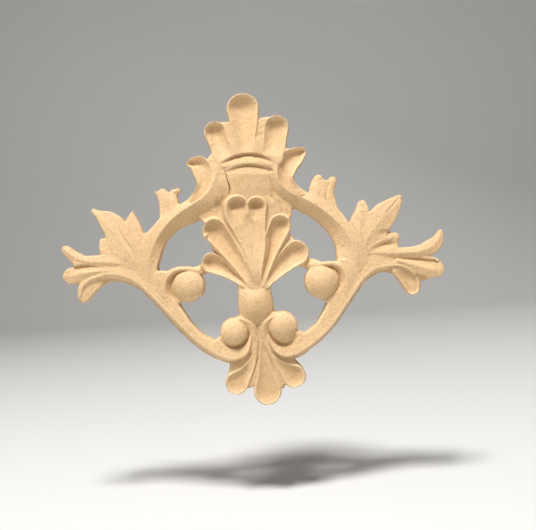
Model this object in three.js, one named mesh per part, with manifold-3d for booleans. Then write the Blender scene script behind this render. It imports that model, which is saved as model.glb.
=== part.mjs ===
// Pierced scrollwork applique: a crown, a fan over a vase, four scrolls and two leafy wings, all in
// one piece. The back is flat and lies in the plane y = 0; the carved face looks towards -y; z is up.
import * as THREE from 'three';
import { mergeVertices } from 'three/addons/utils/BufferGeometryUtils.js';
import Module from 'manifold-3d';

// Driving dimensions, in millimetres
const WIDTH = 145; // across the two wings
const THICKNESS = 10; // the mould's full depth; the tallest boss, the vase, fills 85 percent of it

// The carver's grid: places and half-widths below are given on a grid of this many squares across
// the wings, and heights as shares of the thickness
const GRID_COUNT = 100.8;
const UNIT = WIDTH / GRID_COUNT;

// Shape of the strokes
const PETAL_RIM = 0.9; // where the rim of a petal stands, as a share of its half-width
const PETAL_EDGE = 0.94; // height of a petal's outer edge beside its rim
const PROUD_EDGE = 0.92; // the same for the prouder petals of the fan and the middle of the crown
const PETAL_HOLLOW = 0.4; // depth of a petal's hollow beside its rim
const SPOON_WALL = 2.4; // how steep the wall of a hollow stands, from 1 for a V
const LEAF_EDGE = 0.72; // height of a leaf's edge beside its midrib
const WEB_EDGE = 0.96; // height of a plain web's edge beside its middle
const BALL_EDGE = 0.62; // height of a ball's edge beside its top
const DOME_POWER = 0.75; // from 0.5 for half an ellipse to 1 for a flat parabola
const GOUGE_TOP = 1.25; // how high a hollow or a groove is open above the back
const BELOW_BACK = -0.1; // where a raised stroke starts, before the back is trimmed
const LOBE_SHARES = [0, 0.35, 0.7, 1]; // stations of a petal along its length
const BOW_TOP = 4; // makes a petal's bow full half-way along it
const NECK_LEAF_FORM = { hollow: 0.36, edge: 0.88 }; // the two leaves that curl out from the neck
const FAN_CENTRE_FORM = { hollow: 0, edge: PROUD_EDGE }; // the double middle petal before it is hollowed
const FOOT_FORM = { hollow: 0.28, edge: PETAL_EDGE }; // the shallow petals of the foot

// Fineness of the facets
const SPAN_STEPS = 2; // steps between two stations
const WEB_SPAN_STEPS = 1; // steps between two stations of a plain web
const CAP_STEPS = 6; // steps round a wide end
const NARROW_CAP_STEPS = 3; // steps round a narrow end
const NARROW = 1.6; // half-width up to which an end is narrow
const MERGE = 0.0001; // points nearer than this are one point

// Finish
const PALE_PULP = 0xe3bf8f;
const MATT = 0.62;

// Stops from the edge, 1, to the centre line, 0, of each kind of section
const STOPS = {
  ridge: [1, 0],
  round: [1, 0.85, 0.5, 0],
  web: [1, 0],
  petal: [1, PETAL_RIM, 0],
  spoon: [0, 0.55, PETAL_RIM],
  groove: [0, 1],
};

// Height of a section as a share of the height at the station, by how far out a point lies
const slope = (out, column) => THREE.MathUtils.lerp(1, column.edge, out);
const SECTIONS = {
  ridge: slope,
  round: (out, column) => column.edge + (1 - column.edge) * (1 - out * out) ** DOME_POWER,
  web: slope,
  petal: (out, column) => (out > PETAL_RIM ? column.edge : 1),
  spoon: (out, column, form) => {
    const depth = form.hollow * column.along * (2 - column.along);
    return 1 - depth * (1 - (out / PETAL_RIM) ** SPOON_WALL);
  },
};

// A stroke: a name, a kind of section, its form and its stations, each of
// x, z, half-width to the left, half-width to the right, height
function band(name, kind, form, stations) {
  return { name, kind, form, stations };
}

// A leaf or stem with a midrib; its left and right edges stand at shares of the midrib's height,
// one pair for the whole leaf, or a pair at the end of each station
function leaf(name, stations, left = LEAF_EDGE, right = LEAF_EDGE) {
  return band(name, 'ridge', { left, right }, stations);
}

// Plain ground between the leaves: stations of x, z, half-width, height
function web(name, stations) {
  const even = stations.map(([x, z, half, height]) => [x, z, half, half, height]);
  return band(name, 'web', { edge: WEB_EDGE }, even);
}

// A ball: x, z, radius, height
function ball(name, x, z, radius, height) {
  return band(name, 'round', { edge: BALL_EDGE }, [[x, z, radius, radius, height]]);
}

// A hollow petal that widens evenly from its root to its round tip and may bow to one side
function lobe(name, root, tip, halves, heights, shape = {}) {
  const { bow = 0, hollow = PETAL_HOLLOW, edge = PETAL_EDGE } = shape;
  const from = new THREE.Vector2(...root);
  const to = new THREE.Vector2(...tip);
  const across = to.clone().sub(from).normalize();
  across.set(-across.y, across.x);
  const stations = LOBE_SHARES.map((along) => {
    const aside = bow * BOW_TOP * along * (1 - along);
    const place = from.clone().lerp(to, along).addScaledVector(across, aside);
    const half = THREE.MathUtils.lerp(halves[0], halves[1], along);
    const height = THREE.MathUtils.lerp(heights[0], heights[1], along);
    return [place.x, place.y, half, half, height];
  });
  return band(name, 'petal', { hollow, edge }, stations);
}

// A groove cut into the land at that height; the heights of its stations are those of its floor
function groove(name, land, stations) {
  return band(name, 'groove', { land }, stations);
}

// Stems and lower sweeps that make the pierced frame; the sweeps end as the rims of the scrolls
const FRAME = [
  leaf('stem_left', [
    [-8.0, 22.5, 2.2, 2.4, 0.60, 0.90, 0.90], [-9.4, 18.4, 3.0, 3.4, 0.63, 0.85, 0.90],
    [-11.9, 15.0, 4.0, 2.8, 0.66, 0.70, 0.80], [-15.5, 12.8, 4.2, 1.9, 0.67, 0.45, 0.75],
    [-18.8, 10.9, 3.6, 2.0, 0.66, 0.42, 0.72], [-21.7, 8.7, 2.8, 2.5, 0.64, 0.45, 0.75],
    [-24.8, 5.2, 2.4, 2.9, 0.62, 0.55, 0.80], [-26.6, 1.8, 2.5, 3.3, 0.60, 0.70, 0.85],
    [-28.0, -2.0, 2.6, 3.6, 0.58, 0.85, 0.85], [-28.2, -5.4, 2.6, 2.6, 0.56, 0.90, 0.90],
  ]),
  leaf('stem_right', [
    [6.6, 22.5, 2.4, 2.2, 0.60, 0.90, 0.90], [7.6, 18.2, 3.6, 2.8, 0.66, 0.85, 0.70],
    [10.0, 14.9, 2.6, 3.6, 0.68, 0.75, 0.55], [13.6, 12.7, 1.9, 3.2, 0.68, 0.72, 0.45],
    [17.5, 10.2, 2.4, 3.2, 0.66, 0.72, 0.42], [21.0, 7.2, 2.7, 3.4, 0.64, 0.72, 0.42],
    [23.8, 4.0, 2.1, 3.9, 0.62, 0.80, 0.45], [25.6, 0.2, 2.6, 4.3, 0.60, 0.85, 0.50],
    [26.5, -3.8, 3.0, 4.9, 0.58, 0.85, 0.70], [26.0, -8.0, 2.6, 4.2, 0.56, 0.90, 0.90],
  ]),
  leaf('sweep_left', [
    [-46.4, -9.2, 0.9, 1.85, 0.36], [-45.9, -7.2, 1.1, 2.8, 0.40], [-43.9, -5.4, 1.3, 3.0, 0.44],
    [-41.2, -4.5, 1.6, 2.5, 0.47], [-38.3, -4.1, 2.6, 1.9, 0.50], [-34.0, -5.1, 3.2, 1.6, 0.54],
    [-30.3, -7.5, 3.8, 1.15, 0.57], [-27.0, -11.0, 4.4, 1.1, 0.59], [-23.9, -14.6, 3.8, 1.2, 0.60],
    [-20.0, -19.1, 2.6, 1.45, 0.60], [-16.4, -22.9, 2.35, 1.45, 0.60], [-12.2, -26.2, 3.0, 1.4, 0.60],
    [-9.2, -27.7, 3.2, 1.3, 0.60], [-6.6, -28.2, 2.6, 1.2, 0.60], [-4.2, -27.3, 1.8, 1.1, 0.60],
    [-2.9, -25.6, 1.3, 1.0, 0.60], [-2.3, -23.4, 0.9, 0.9, 0.58], [-2.2, -21.4, 0.6, 0.6, 0.54],
  ], 0.86, 0.40),
  leaf('sweep_right', [
    [41.5, -12.4, 1.9, 0.8, 0.34], [42.0, -10.2, 3.8, 0.7, 0.38], [40.9, -7.9, 3.5, 1.1, 0.43],
    [38.7, -6.7, 2.8, 1.2, 0.46], [36.2, -6.3, 2.1, 1.6, 0.49], [33.6, -6.5, 1.4, 2.8, 0.52],
    [31.0, -7.1, 1.35, 3.6, 0.54],
    [28.0, -9.3, 1.1, 4.0, 0.57], [25.4, -12.6, 0.95, 4.5, 0.59], [22.6, -16.3, 0.95, 4.5, 0.60],
    [19.5, -20.4, 0.9, 3.8, 0.60], [16.3, -23.4, 1.0, 3.3, 0.60], [12.6, -26.0, 1.1, 3.4, 0.60],
    [9.6, -27.6, 1.3, 3.2, 0.60], [6.8, -28.1, 1.2, 2.6, 0.60], [4.6, -27.4, 1.1, 1.9, 0.60],
    [3.2, -25.8, 1.0, 1.3, 0.60], [2.4, -23.6, 0.9, 0.9, 0.58], [2.1, -21.6, 0.6, 0.6, 0.54],
  ], 0.40, 0.86),
];

// Three-pointed leaves, small leaves and the leafy ends of the wings
const LEAVES = [
  leaf('leaf_left_main', [
    [-31.5, -2.0, 3.2, 3.2, 0.52], [-34.0, 3.4, 3.6, 3.4, 0.50], [-37.6, 8.3, 2.1, 3.7, 0.44],
    [-40.3, 11.2, 1.0, 1.6, 0.38], [-41.8, 12.75, 0.6, 0.6, 0.32],
  ], 0.90, 0.82),
  leaf('leaf_left_inner', [
    [-30.4, -1.0, 2.8, 2.8, 0.52], [-31.1, 4.0, 2.8, 2.7, 0.48], [-31.5, 8.2, 2.4, 1.75, 0.42],
    [-31.7, 11.1, 0.6, 0.6, 0.34],
  ], 0.84, 0.88),
  web('leaf_left_tooth_high', [[-35.6, 3.4, 2.4, 0.47], [-39.8, 4.55, 0.85, 0.38]]),
  web('leaf_left_tooth_middle', [[-35.6, 2.4, 2.6, 0.47], [-39.4, 3.2, 1.4, 0.40]]),
  web('leaf_left_tooth_low', [[-35.0, 0.6, 2.4, 0.48], [-39.6, 1.9, 1.1, 0.41]]),
  leaf('leaf_right_main', [
    [27.5, -2.5, 3.0, 3.2, 0.52], [31.2, 3.0, 3.7, 3.6, 0.50], [34.8, 7.2, 3.2, 3.2, 0.45],
    [37.6, 10.1, 1.6, 2.0, 0.38], [39.3, 11.7, 0.5, 0.5, 0.32],
  ], 0.86, 0.82),
  leaf('leaf_right_inner', [
    [27.4, -1.0, 2.8, 2.8, 0.52], [27.8, 4.0, 2.7, 2.8, 0.48], [28.6, 8.0, 1.7, 2.3, 0.43],
    [29.1, 10.1, 1.25, 1.25, 0.36],
  ], 0.86, 0.90),
  leaf('leaf_right_tooth', [
    [29.0, -2.0, 2.6, 2.6, 0.50], [33.6, 0.5, 2.4, 2.2, 0.44], [37.2, 1.0, 1.3, 1.3, 0.36],
  ], 0.80, 0.80),
  web('leaf_web_right', [[32.2, -1.4, 1.8, 0.40], [36.4, -0.9, 1.6, 0.36]]),
  leaf('bud_left_outer', [
    [-22.0, 9.5, 2.4, 1.8, 0.52], [-22.6, 13.6, 1.7, 1.7, 0.44], [-23.4, 16.2, 1.3, 1.45, 0.35],
  ], 0.84, 0.84),
  leaf('bud_left_tooth', [[-23.6, 15.4, 1.0, 0.9, 0.35], [-25.1, 16.8, 0.3, 0.3, 0.28]]),
  leaf('bud_left_inner', [
    [-20.4, 11.0, 1.8, 1.8, 0.52], [-20.8, 14.2, 1.7, 1.4, 0.42], [-20.5, 16.7, 0.6, 0.6, 0.32],
  ], 0.84, 0.84),
  leaf('bud_left_whisker', [[-20.5, 15.6, 0.6, 0.6, 0.32], [-19.2, 17.0, 0.35, 0.35, 0.24]]),
  leaf('bud_right_inner', [
    [16.8, 11.5, 2.2, 2.6, 0.52], [17.2, 15.0, 1.8, 2.2, 0.44], [17.9, 17.45, 1.3, 1.35, 0.35],
  ], 0.84, 0.90),
  leaf('bud_right_outer', [
    [20.8, 9.0, 2.2, 2.0, 0.52], [20.6, 13.6, 1.8, 1.3, 0.42], [21.65, 16.8, 1.25, 1.2, 0.35],
  ], 0.84, 0.84),
  web('bud_web_left', [[-22.0, 11.5, 2.0, 0.42], [-22.2, 14.6, 2.0, 0.34]]),
  web('bud_web_right', [[18.8, 12.0, 2.2, 0.44], [19.3, 15.2, 2.0, 0.37]]),
  leaf('wing_left_upper', [
    [-32.0, -2.0, 2.0, 2.0, 0.48], [-36.5, -1.2, 2.2, 2.2, 0.50], [-40.5, -0.7, 1.8, 1.8, 0.48],
    [-44.8, -0.2, 1.4, 1.4, 0.45], [-47.6, 1.3, 1.7, 1.25, 0.40], [-49.8, 3.1, 1.05, 1.05, 0.34],
  ], 0.80, 0.86),
  leaf('wing_right_upper', [
    [29.0, -2.6, 1.6, 1.6, 0.46], [34.0, -2.9, 2.0, 2.0, 0.50], [38.5, -3.1, 1.4, 1.6, 0.49],
    [43.5, -3.0, 1.65, 1.6, 0.46], [46.6, -1.8, 1.7, 2.2, 0.41], [48.6, 0.1, 1.1, 1.5, 0.35],
    [49.5, 2.2, 0.3, 0.3, 0.28],
  ], 0.84, 0.80),
  leaf('wing_left_middle', [
    [-37.0, -3.2, 1.0, 1.0, 0.50], [-42.0, -3.1, 1.5, 1.5, 0.48], [-45.4, -3.4, 1.9, 2.2, 0.45],
    [-48.6, -4.1, 2.0, 2.3, 0.39],
  ], 0.84, 0.90),
  leaf('wing_right_middle', [
    [37.5, -5.1, 0.9, 0.9, 0.50], [40.5, -5.9, 1.6, 1.5, 0.48], [43.0, -6.8, 2.3, 2.0, 0.46],
    [46.0, -7.8, 3.2, 2.2, 0.42], [47.5, -8.2, 2.3, 2.0, 0.38],
  ], 0.84, 0.86),
  web('wing_web_left', [[-43.0, -4.6, 1.6, 0.38], [-47.2, -4.9, 1.3, 0.32]]),
  web('wing_notch_left', [[-44.0, -1.4, 1.2, 0.42], [-46.8, -0.9, 1.1, 0.40]]),
  web('wing_lobe_left', [[-41.6, -5.9, 1.1, 0.37], [-44.1, -7.4, 1.9, 0.36], [-45.6, -9.4, 1.6, 0.32]]),
  web('wing_web_right', [[41.6, -7.4, 2.0, 0.38], [44.2, -9.2, 1.6, 0.30]]),
  band('wing_lobe_right', 'petal', { hollow: 0.36, edge: PETAL_EDGE }, [
    [37.0, -7.4, 1.1, 1.3, 0.43], [39.0, -9.0, 1.8, 2.0, 0.40], [40.5, -10.9, 2.1, 2.2, 0.37],
    [41.0, -12.4, 1.85, 1.85, 0.34],
  ]),
  web('valley_left', [[-28.0, 5.1, 1.2, 0.46]]),
];

// Crown of three hollow petals, neck, and the two leaves that spring from it
const CROWN = [
  web('shoulder_left', [
    [-8.8, 14.0, 2.0, 0.45], [-8.2, 17.0, 2.8, 0.60], [-8.4, 20.0, 3.2, 0.60], [-8.6, 23.6, 2.4, 0.57],
  ]),
  web('shoulder_right', [[8.0, 18.6, 2.4, 0.54], [8.4, 21.4, 3.0, 0.56], [8.9, 24.3, 2.2, 0.57]]),
  band('neck', 'round', {}, [
    [-0.4, 24.6, 5.8, 5.8, 0.62, 0.9, 0.9], [-0.5, 20.5, 6.6, 6.4, 0.66, 0.75, 0.80],
    [-0.6, 16.0, 6.9, 6.6, 0.65, 0.60, 0.70], [-0.8, 10.0, 6.0, 6.0, 0.56, 0.60, 0.70],
  ]),
  web('crown_web_left', [[-5.4, 24.6, 3.8, 0.60], [-6.4, 28.2, 3.6, 0.575], [-6.0, 31.5, 2.5, 0.55]]),
  web('crown_web_right', [[5.4, 24.6, 3.8, 0.60], [6.4, 28.4, 3.7, 0.575], [5.0, 32.0, 2.6, 0.55]]),
  web('crown_web', [[-0.3, 25.0, 5.0, 0.60], [-0.2, 30.2, 5.0, 0.56], [-0.2, 33.0, 3.4, 0.54]]),
  band('neck_leaf_left', 'petal', NECK_LEAF_FORM, [
    [-15.6, 14.2, 0.8, 1.0, 0.52], [-13.4, 15.9, 1.35, 1.5, 0.57], [-12.1, 18.4, 2.0, 2.1, 0.60],
    [-12.7, 21.8, 2.5, 3.0, 0.58], [-13.7, 23.4, 2.0, 2.1, 0.50], [-15.9, 23.8, 0.7, 0.7, 0.38],
  ]),
  band('neck_leaf_right', 'petal', NECK_LEAF_FORM, [
    [13.4, 13.9, 1.0, 1.0, 0.52], [10.9, 15.9, 1.6, 1.3, 0.57], [9.5, 18.5, 2.3, 1.9, 0.60],
    [10.4, 21.8, 2.9, 2.6, 0.58], [12.2, 23.8, 2.4, 2.4, 0.50], [14.1, 25.0, 1.1, 1.15, 0.40],
  ]),
  lobe('crown_left', [-6.1, 24.2], [-8.4, 31.3], [2.5, 3.0], [0.60, 0.56]),
  lobe('crown_right', [6.2, 24.2], [7.7, 31.6], [2.9, 3.35], [0.60, 0.56]),
  lobe('crown_centre', [-0.4, 24.0], [-0.8, 36.8], [1.7, 4.35], [0.64, 0.60], { edge: PROUD_EDGE }),
];

// Fan of five petals on a vase; the middle petal ends in two round hollows
const FAN_CENTRE_LEFT = [
  [-0.2, -9.4, 0.7, 0.7, 0.60], [-0.2, -5.0, 1.3, 1.3, 0.70], [-0.8, 0.0, 1.8, 1.8, 0.70],
  [-1.6, 3.0, 2.4, 2.4, 0.69], [-2.75, 6.5, 2.85, 2.85, 0.69], [-3.75, 9.5, 3.25, 3.25, 0.69],
  [-3.75, 11.4, 3.15, 3.15, 0.69],
];
const FAN_CENTRE_RIGHT = [
  [0.5, -9.4, 0.8, 0.8, 0.60], [0.6, -5.0, 1.2, 1.2, 0.70], [1.1, 0.0, 1.8, 1.8, 0.70],
  [1.3, 3.0, 1.9, 1.9, 0.69], [1.15, 6.5, 2.2, 2.2, 0.69], [1.1, 9.5, 2.55, 2.55, 0.69],
  [1.25, 11.2, 2.7, 2.7, 0.69],
];
const FAN = [
  web('fan_web_left', [[-12.0, 9.6, 1.8, 0.42], [-9.0, 9.6, 2.4, 0.46], [-8.0, 12.5, 3.6, 0.46]]),
  web('fan_web_right', [[8.6, 8.9, 1.8, 0.44], [7.6, 12.5, 3.2, 0.45]]),
  web('fan_web_low_left', [[-10.0, 1.5, 1.3, 0.47], [-7.4, 1.2, 2.7, 0.50], [-5.8, -1.6, 1.8, 0.53]]),
  web('fan_web_low_right', [[8.0, 1.4, 2.8, 0.50], [6.0, -1.6, 2.0, 0.53]]),
  web('fan_web', [[-0.3, -7.0, 2.6, 0.64], [-0.4, 0.0, 5.4, 0.63], [-0.6, 7.0, 8.3, 0.56]]),
  web('waist', [[-0.5, -7.4, 4.6, 0.58], [-0.5, -10.2, 4.1, 0.58]]),
  lobe('fan_low_left', [-2.2, -9.0], [-11.3, -2.7], [1.3, 2.75], [0.62, 0.54],
    { bow: -0.5, edge: PROUD_EDGE }),
  lobe('fan_low_right', [2.2, -9.0], [11.0, -1.4], [1.5, 3.3], [0.62, 0.54],
    { bow: 0.4, edge: PROUD_EDGE }),
  lobe('fan_high_left', [-1.2, -9.0], [-10.1, 5.7], [1.1, 3.25], [0.63, 0.62],
    { bow: -0.4, edge: PROUD_EDGE }),
  lobe('fan_high_right', [1.2, -9.0], [7.1, 5.9], [1.1, 2.95], [0.63, 0.62],
    { bow: 0.5, edge: PROUD_EDGE }),
  band('fan_centre_left', 'petal', FAN_CENTRE_FORM, FAN_CENTRE_LEFT),
  band('fan_centre_right', 'petal', FAN_CENTRE_FORM, FAN_CENTRE_RIGHT),
  band('fan_hollow_left', 'spoon', { hollow: 0.22 }, FAN_CENTRE_LEFT),
  band('fan_hollow_right', 'spoon', { hollow: 0.22 }, FAN_CENTRE_RIGHT),
  band('fan_floor', 'spoon', { hollow: 0.24 }, [
    [0.2, -7.5, 1.4, 1.4, 0.70], [0.0, -2.0, 2.6, 2.6, 0.70], [-0.6, 3.5, 4.0, 4.0, 0.70],
    [-1.2, 6.2, 4.4, 4.4, 0.70],
  ]),
  band('vase', 'round', { edge: 0.48 }, [
    [-0.5, -10.3, 3.5, 3.5, 0.62], [-0.6, -11.6, 4.4, 4.4, 0.78], [-0.55, -13.4, 4.6, 4.6, 0.85],
    [-0.45, -15.6, 4.6, 4.6, 0.80], [-0.4, -17.6, 3.6, 3.6, 0.68], [-0.4, -19.2, 1.6, 1.6, 0.58],
  ]),
  leaf('arm_left', [
    [-5.6, -18.0, 0.7, 0.7, 0.60], [-4.2, -18.0, 1.2, 1.1, 0.63], [-2.2, -19.2, 1.5, 1.4, 0.65],
    [-1.4, -21.4, 1.2, 1.4, 0.60], [-1.3, -23.6, 0.9, 1.2, 0.54],
  ], 0.80, 0.86),
  leaf('arm_right', [
    [5.4, -17.6, 0.7, 0.7, 0.60], [3.9, -17.7, 1.1, 1.2, 0.63], [1.7, -19.1, 1.4, 1.5, 0.65],
    [0.9, -21.4, 1.4, 1.2, 0.60], [1.1, -23.6, 1.2, 0.9, 0.54],
  ], 0.86, 0.80),
];

// Scrolls beside and below the vase, each wound round a ball
const SCROLLS = [
  web('scroll_web_left', [[-24.6, -6.8, 2.9, 0.58], [-20.8, -9.4, 3.4, 0.54]]),
  web('scroll_web_right', [[23.4, -7.6, 3.6, 0.58], [19.4, -12.1, 3.2, 0.54]]),
  web('scroll_link_left', [[-16.4, -5.0, 1.3, 0.50], [-13.6, -4.2, 1.3, 0.40]]),
  web('scroll_link_right', [[16.0, -5.0, 1.5, 0.50], [12.6, -4.0, 1.3, 0.38]]),
  leaf('scroll_left', [
    [-23.9, -12.0, 1.2, 1.2, 0.58], [-24.3, -9.0, 1.4, 1.5, 0.60], [-23.4, -6.0, 1.3, 1.5, 0.61],
    [-20.8, -4.2, 0.9, 1.2, 0.60], [-18.0, -3.9, 0.65, 1.1, 0.59], [-15.2, -4.6, 0.7, 1.0, 0.55],
  ], 0.94, 0.90),
  leaf('scroll_right', [
    [22.6, -14.0, 1.2, 1.4, 0.57], [23.8, -10.0, 1.4, 1.4, 0.60], [23.4, -6.8, 1.4, 1.3, 0.61],
    [20.9, -5.0, 1.1, 0.8, 0.60], [18.0, -4.8, 0.9, 0.65, 0.59], [15.2, -5.0, 1.0, 0.9, 0.55],
  ], 0.90, 0.94),
  ball('ball_left', -17.8, -8.4, 4.25, 0.80),
  ball('ball_right', 17.1, -9.25, 4.5, 0.80),
  web('knob_web', [[-0.4, -18.2, 4.5, 0.54], [-0.2, -24.6, 2.6, 0.50]]),
  ball('knob_left', -6.5, -21.15, 3.75, 0.80),
  ball('knob_right', 6.2, -20.4, 3.95, 0.80),
  web('knob_web_left', [[-9.8, -24.8, 2.6, 0.55], [-3.6, -22.5, 4.0, 0.55]]),
  web('knob_web_right', [[9.8, -24.5, 2.7, 0.55], [3.6, -22.5, 4.0, 0.55]]),
];

// Three hanging petals at the foot, with a crumb of flash in one notch
const FOOT = [
  web('foot_ground', [[-0.2, -22.0, 1.6, 0.52], [0.5, -27.0, 3.6, 0.49], [0.6, -30.0, 5.4, 0.47]]),
  web('foot_web_left', [[-6.4, -30.4, 1.9, 0.42], [-7.0, -33.1, 2.2, 0.40]]),
  web('foot_web_right', [[7.4, -30.5, 1.9, 0.42], [8.3, -32.4, 2.4, 0.40]]),
  web('foot_web_low_left', [[-2.8, -29.0, 2.6, 0.45], [-3.5, -33.5, 2.5, 0.41]]),
  web('foot_web_low_right', [[3.6, -29.0, 2.8, 0.45], [4.8, -33.7, 2.3, 0.41]]),
  web('foot_crumb', [[5.3, -36.2, 0.6, 0.28]]),
  band('foot_left', 'petal', FOOT_FORM, [
    [-1.7, -28.2, 0.7, 0.7, 0.48], [-3.3, -30.8, 1.35, 1.35, 0.48], [-4.9, -32.7, 2.05, 2.05, 0.47],
    [-6.7, -34.55, 3.05, 3.05, 0.46],
  ]),
  band('foot_right', 'petal', FOOT_FORM, [
    [3.4, -28.2, 0.7, 0.7, 0.48], [5.1, -30.5, 1.3, 1.3, 0.48], [6.8, -32.2, 2.1, 2.1, 0.47],
    [8.5, -33.7, 3.05, 3.05, 0.46],
  ]),
  band('foot_centre', 'petal', FOOT_FORM, [
    [0.4, -24.0, 0.5, 0.5, 0.50], [0.8, -28.3, 1.3, 1.3, 0.49], [1.0, -31.3, 1.75, 1.75, 0.48],
    [1.15, -34.4, 2.6, 2.6, 0.47], [1.25, -37.2, 3.65, 3.65, 0.47],
  ]),
];

// Grooves: two coves of the collar, the crescents beside the balls and the hollows of the wings
const CUTS = [
  groove('collar_upper', 0.66, [
    [-7.6, 22.6, 0.3, 0.6, 0.64], [-5.0, 24.0, 0.4, 1.3, 0.57], [-2.5, 24.75, 0.45, 1.7, 0.53],
    [0.0, 24.95, 0.45, 1.8, 0.52], [2.5, 24.6, 0.45, 1.7, 0.53], [4.5, 23.7, 0.4, 1.3, 0.57],
    [6.6, 22.2, 0.3, 0.6, 0.64],
  ]),
  groove('collar_lower', 0.67, [
    [-7.0, 20.5, 0.3, 0.6, 0.66], [-4.0, 21.5, 0.4, 1.6, 0.59], [0.0, 22.15, 0.4, 2.2, 0.55],
    [3.0, 21.6, 0.4, 2.0, 0.56], [5.8, 20.6, 0.3, 1.0, 0.63],
  ]),
  groove('volute_left', 0.59, [
    [-17.4, -4.5, 0.3, 0.3, 0.58], [-20.0, -4.8, 0.4, 0.9, 0.48], [-21.5, -6.1, 0.4, 1.2, 0.44],
    [-22.3, -8.0, 0.4, 1.4, 0.42], [-22.2, -10.0, 0.4, 1.3, 0.45], [-21.4, -12.0, 0.3, 0.6, 0.58],
  ]),
  groove('volute_right', 0.59, [
    [16.6, -5.5, 0.3, 0.3, 0.58], [19.0, -5.7, 0.9, 0.4, 0.49], [20.9, -6.6, 1.2, 0.4, 0.44],
    [21.8, -8.5, 1.3, 0.4, 0.43], [21.6, -10.6, 1.1, 0.4, 0.48], [20.8, -12.2, 0.5, 0.3, 0.58],
  ]),
  groove('knob_left', 0.57, [
    [-11.0, -22.6, 0.3, 0.3, 0.56], [-9.3, -24.1, 0.7, 0.6, 0.50], [-7.0, -25.0, 1.2, 0.6, 0.42],
    [-4.8, -24.6, 1.3, 0.6, 0.40], [-3.1, -23.0, 1.0, 0.5, 0.42], [-2.7, -20.8, 0.4, 0.4, 0.56],
  ]),
  groove('knob_right', 0.57, [
    [2.6, -20.5, 0.3, 0.3, 0.56], [3.0, -22.6, 0.5, 0.7, 0.46], [4.7, -24.4, 0.6, 1.2, 0.42],
    [7.0, -24.9, 0.6, 1.2, 0.43], [9.2, -23.9, 0.6, 0.8, 0.50], [10.8, -22.4, 0.4, 0.4, 0.56],
  ]),
  groove('wing_left_hollow', 0.46, [
    [-39.0, -2.5, 0.7, 0.3, 0.46], [-43.0, -1.7, 1.3, 0.4, 0.38], [-46.0, -1.5, 1.9, 0.4, 0.32],
    [-48.0, -1.8, 2.3, 0.4, 0.29], [-50.2, -3.0, 2.2, 0.4, 0.30],
  ]),
  groove('wing_right_groove', 0.46, [
    [36.5, -4.4, 0.3, 0.4, 0.48], [41.5, -4.8, 0.35, 1.5, 0.38], [44.0, -5.1, 0.4, 2.1, 0.34],
    [47.0, -5.6, 0.5, 2.5, 0.32],
  ]),
];

// Columns round a stroke, anticlockwise: up its right side, round the tip, down its left side and
// round the root
function columns({ kind, form, stations }) {
  const isPoint = stations.length === 1;
  const places = isPoint ? [stations[0], stations[0]] : stations;
  const curve = (pick) => new THREE.CatmullRomCurve3(
    places.map((station) => new THREE.Vector3(...pick(station))), false, 'catmullrom');
  const path = curve(([x, z]) => [x, z, 0]);
  const size = curve(([, , left, right, height]) => [left, right, height]);
  const { edge = 1, left = edge, right = edge } = form;
  const edges = curve(([, , , , , leftEdge = left, rightEdge = right]) => [leftEdge, rightEdge, 0]);
  const spanSteps = kind === 'web' ? WEB_SPAN_STEPS : SPAN_STEPS;
  const steps = isPoint ? 0 : (stations.length - 1) * spanSteps;

  const column = (along, turn) => {
    const heading = isPoint ? new THREE.Vector3(0, 1, 0) : path.getTangent(along);
    const half = size.getPoint(along);
    const share = edges.getPoint(along);
    const toLeft = (1 - Math.cos(turn)) / 2;
    return {
      centre: path.getPoint(along),
      outward: heading.applyAxisAngle(new THREE.Vector3(0, 0, 1), turn - Math.PI / 2),
      half: THREE.MathUtils.lerp(half.y, half.x, toLeft),
      edge: THREE.MathUtils.lerp(share.y, share.x, toLeft),
      height: half.z,
      along: isPoint ? 1 : along,
    };
  };
  const cap = (along, from) => {
    const half = size.getPoint(along);
    const isWide = Math.max(half.x, half.y) > NARROW;
    const count = isWide && kind !== 'web' ? CAP_STEPS : NARROW_CAP_STEPS;
    return Array.from({ length: count - 1 }, (_, step) =>
      column(along, from + Math.PI * (step + 1) / count));
  };
  const side = Array.from({ length: steps + 1 }, (_, step) => (isPoint ? 0 : step / steps));
  return [
    ...side.map((along) => column(along, 0)),
    ...cap(1, 0),
    ...side.map((along) => column(1 - along, Math.PI)),
    ...cap(0, Math.PI),
  ];
}

// A closed body from rings of points: each ring has one point for each column, and the first and
// last ring fold onto the centre line
function closedBody(rings) {
  const count = rings[0].length;
  const geometry = new THREE.BufferGeometry();
  geometry.setFromPoints(rings.flat());
  const index = [];
  for (let ring = 0; ring < rings.length - 1; ring += 1) {
    for (let column = 0; column < count; column += 1) {
      const next = (column + 1) % count;
      const [a, b] = [ring * count + column, ring * count + next];
      const [c, d] = [a + count, b + count];
      index.push(a, b, d, a, d, c);
    }
  }
  geometry.setIndex(index);
  return toManifold(geometry);
}

// A point at a share of a column's half-width and at a height above the back
function pointAt({ centre, outward, half }, out, rise) {
  const place = centre.clone().addScaledVector(outward, half * out).multiplyScalar(UNIT);
  return new THREE.Vector3(place.x, -rise * THICKNESS, place.y);
}

// A ring round a stroke at a share of its half-width; rise gives each column's height
function ringAt(around, out, rise) {
  return around.map((column) => pointAt(column, out, rise(column)));
}

// The solid of a raised stroke, from below the back up to its carved top
function raisedBody(stroke) {
  const around = columns(stroke);
  const section = SECTIONS[stroke.kind];
  return closedBody([
    ringAt(around, 0, () => BELOW_BACK),
    ringAt(around, 1, () => BELOW_BACK),
    ...STOPS[stroke.kind].map((out) =>
      ringAt(around, out, (column) => column.height * section(out, column))),
  ]);
}

// What the spoon gouge takes out of a petal, open to the front
function spoonBody(stroke) {
  const around = columns(stroke);
  const open = () => GOUGE_TOP;
  return closedBody([
    ...STOPS.spoon.map((out) => ringAt(around, out, (column) =>
      column.height * SECTIONS.spoon(out, column, stroke.form))),
    ringAt(around, 1, open),
    ringAt(around, 0, open),
  ]);
}

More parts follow.
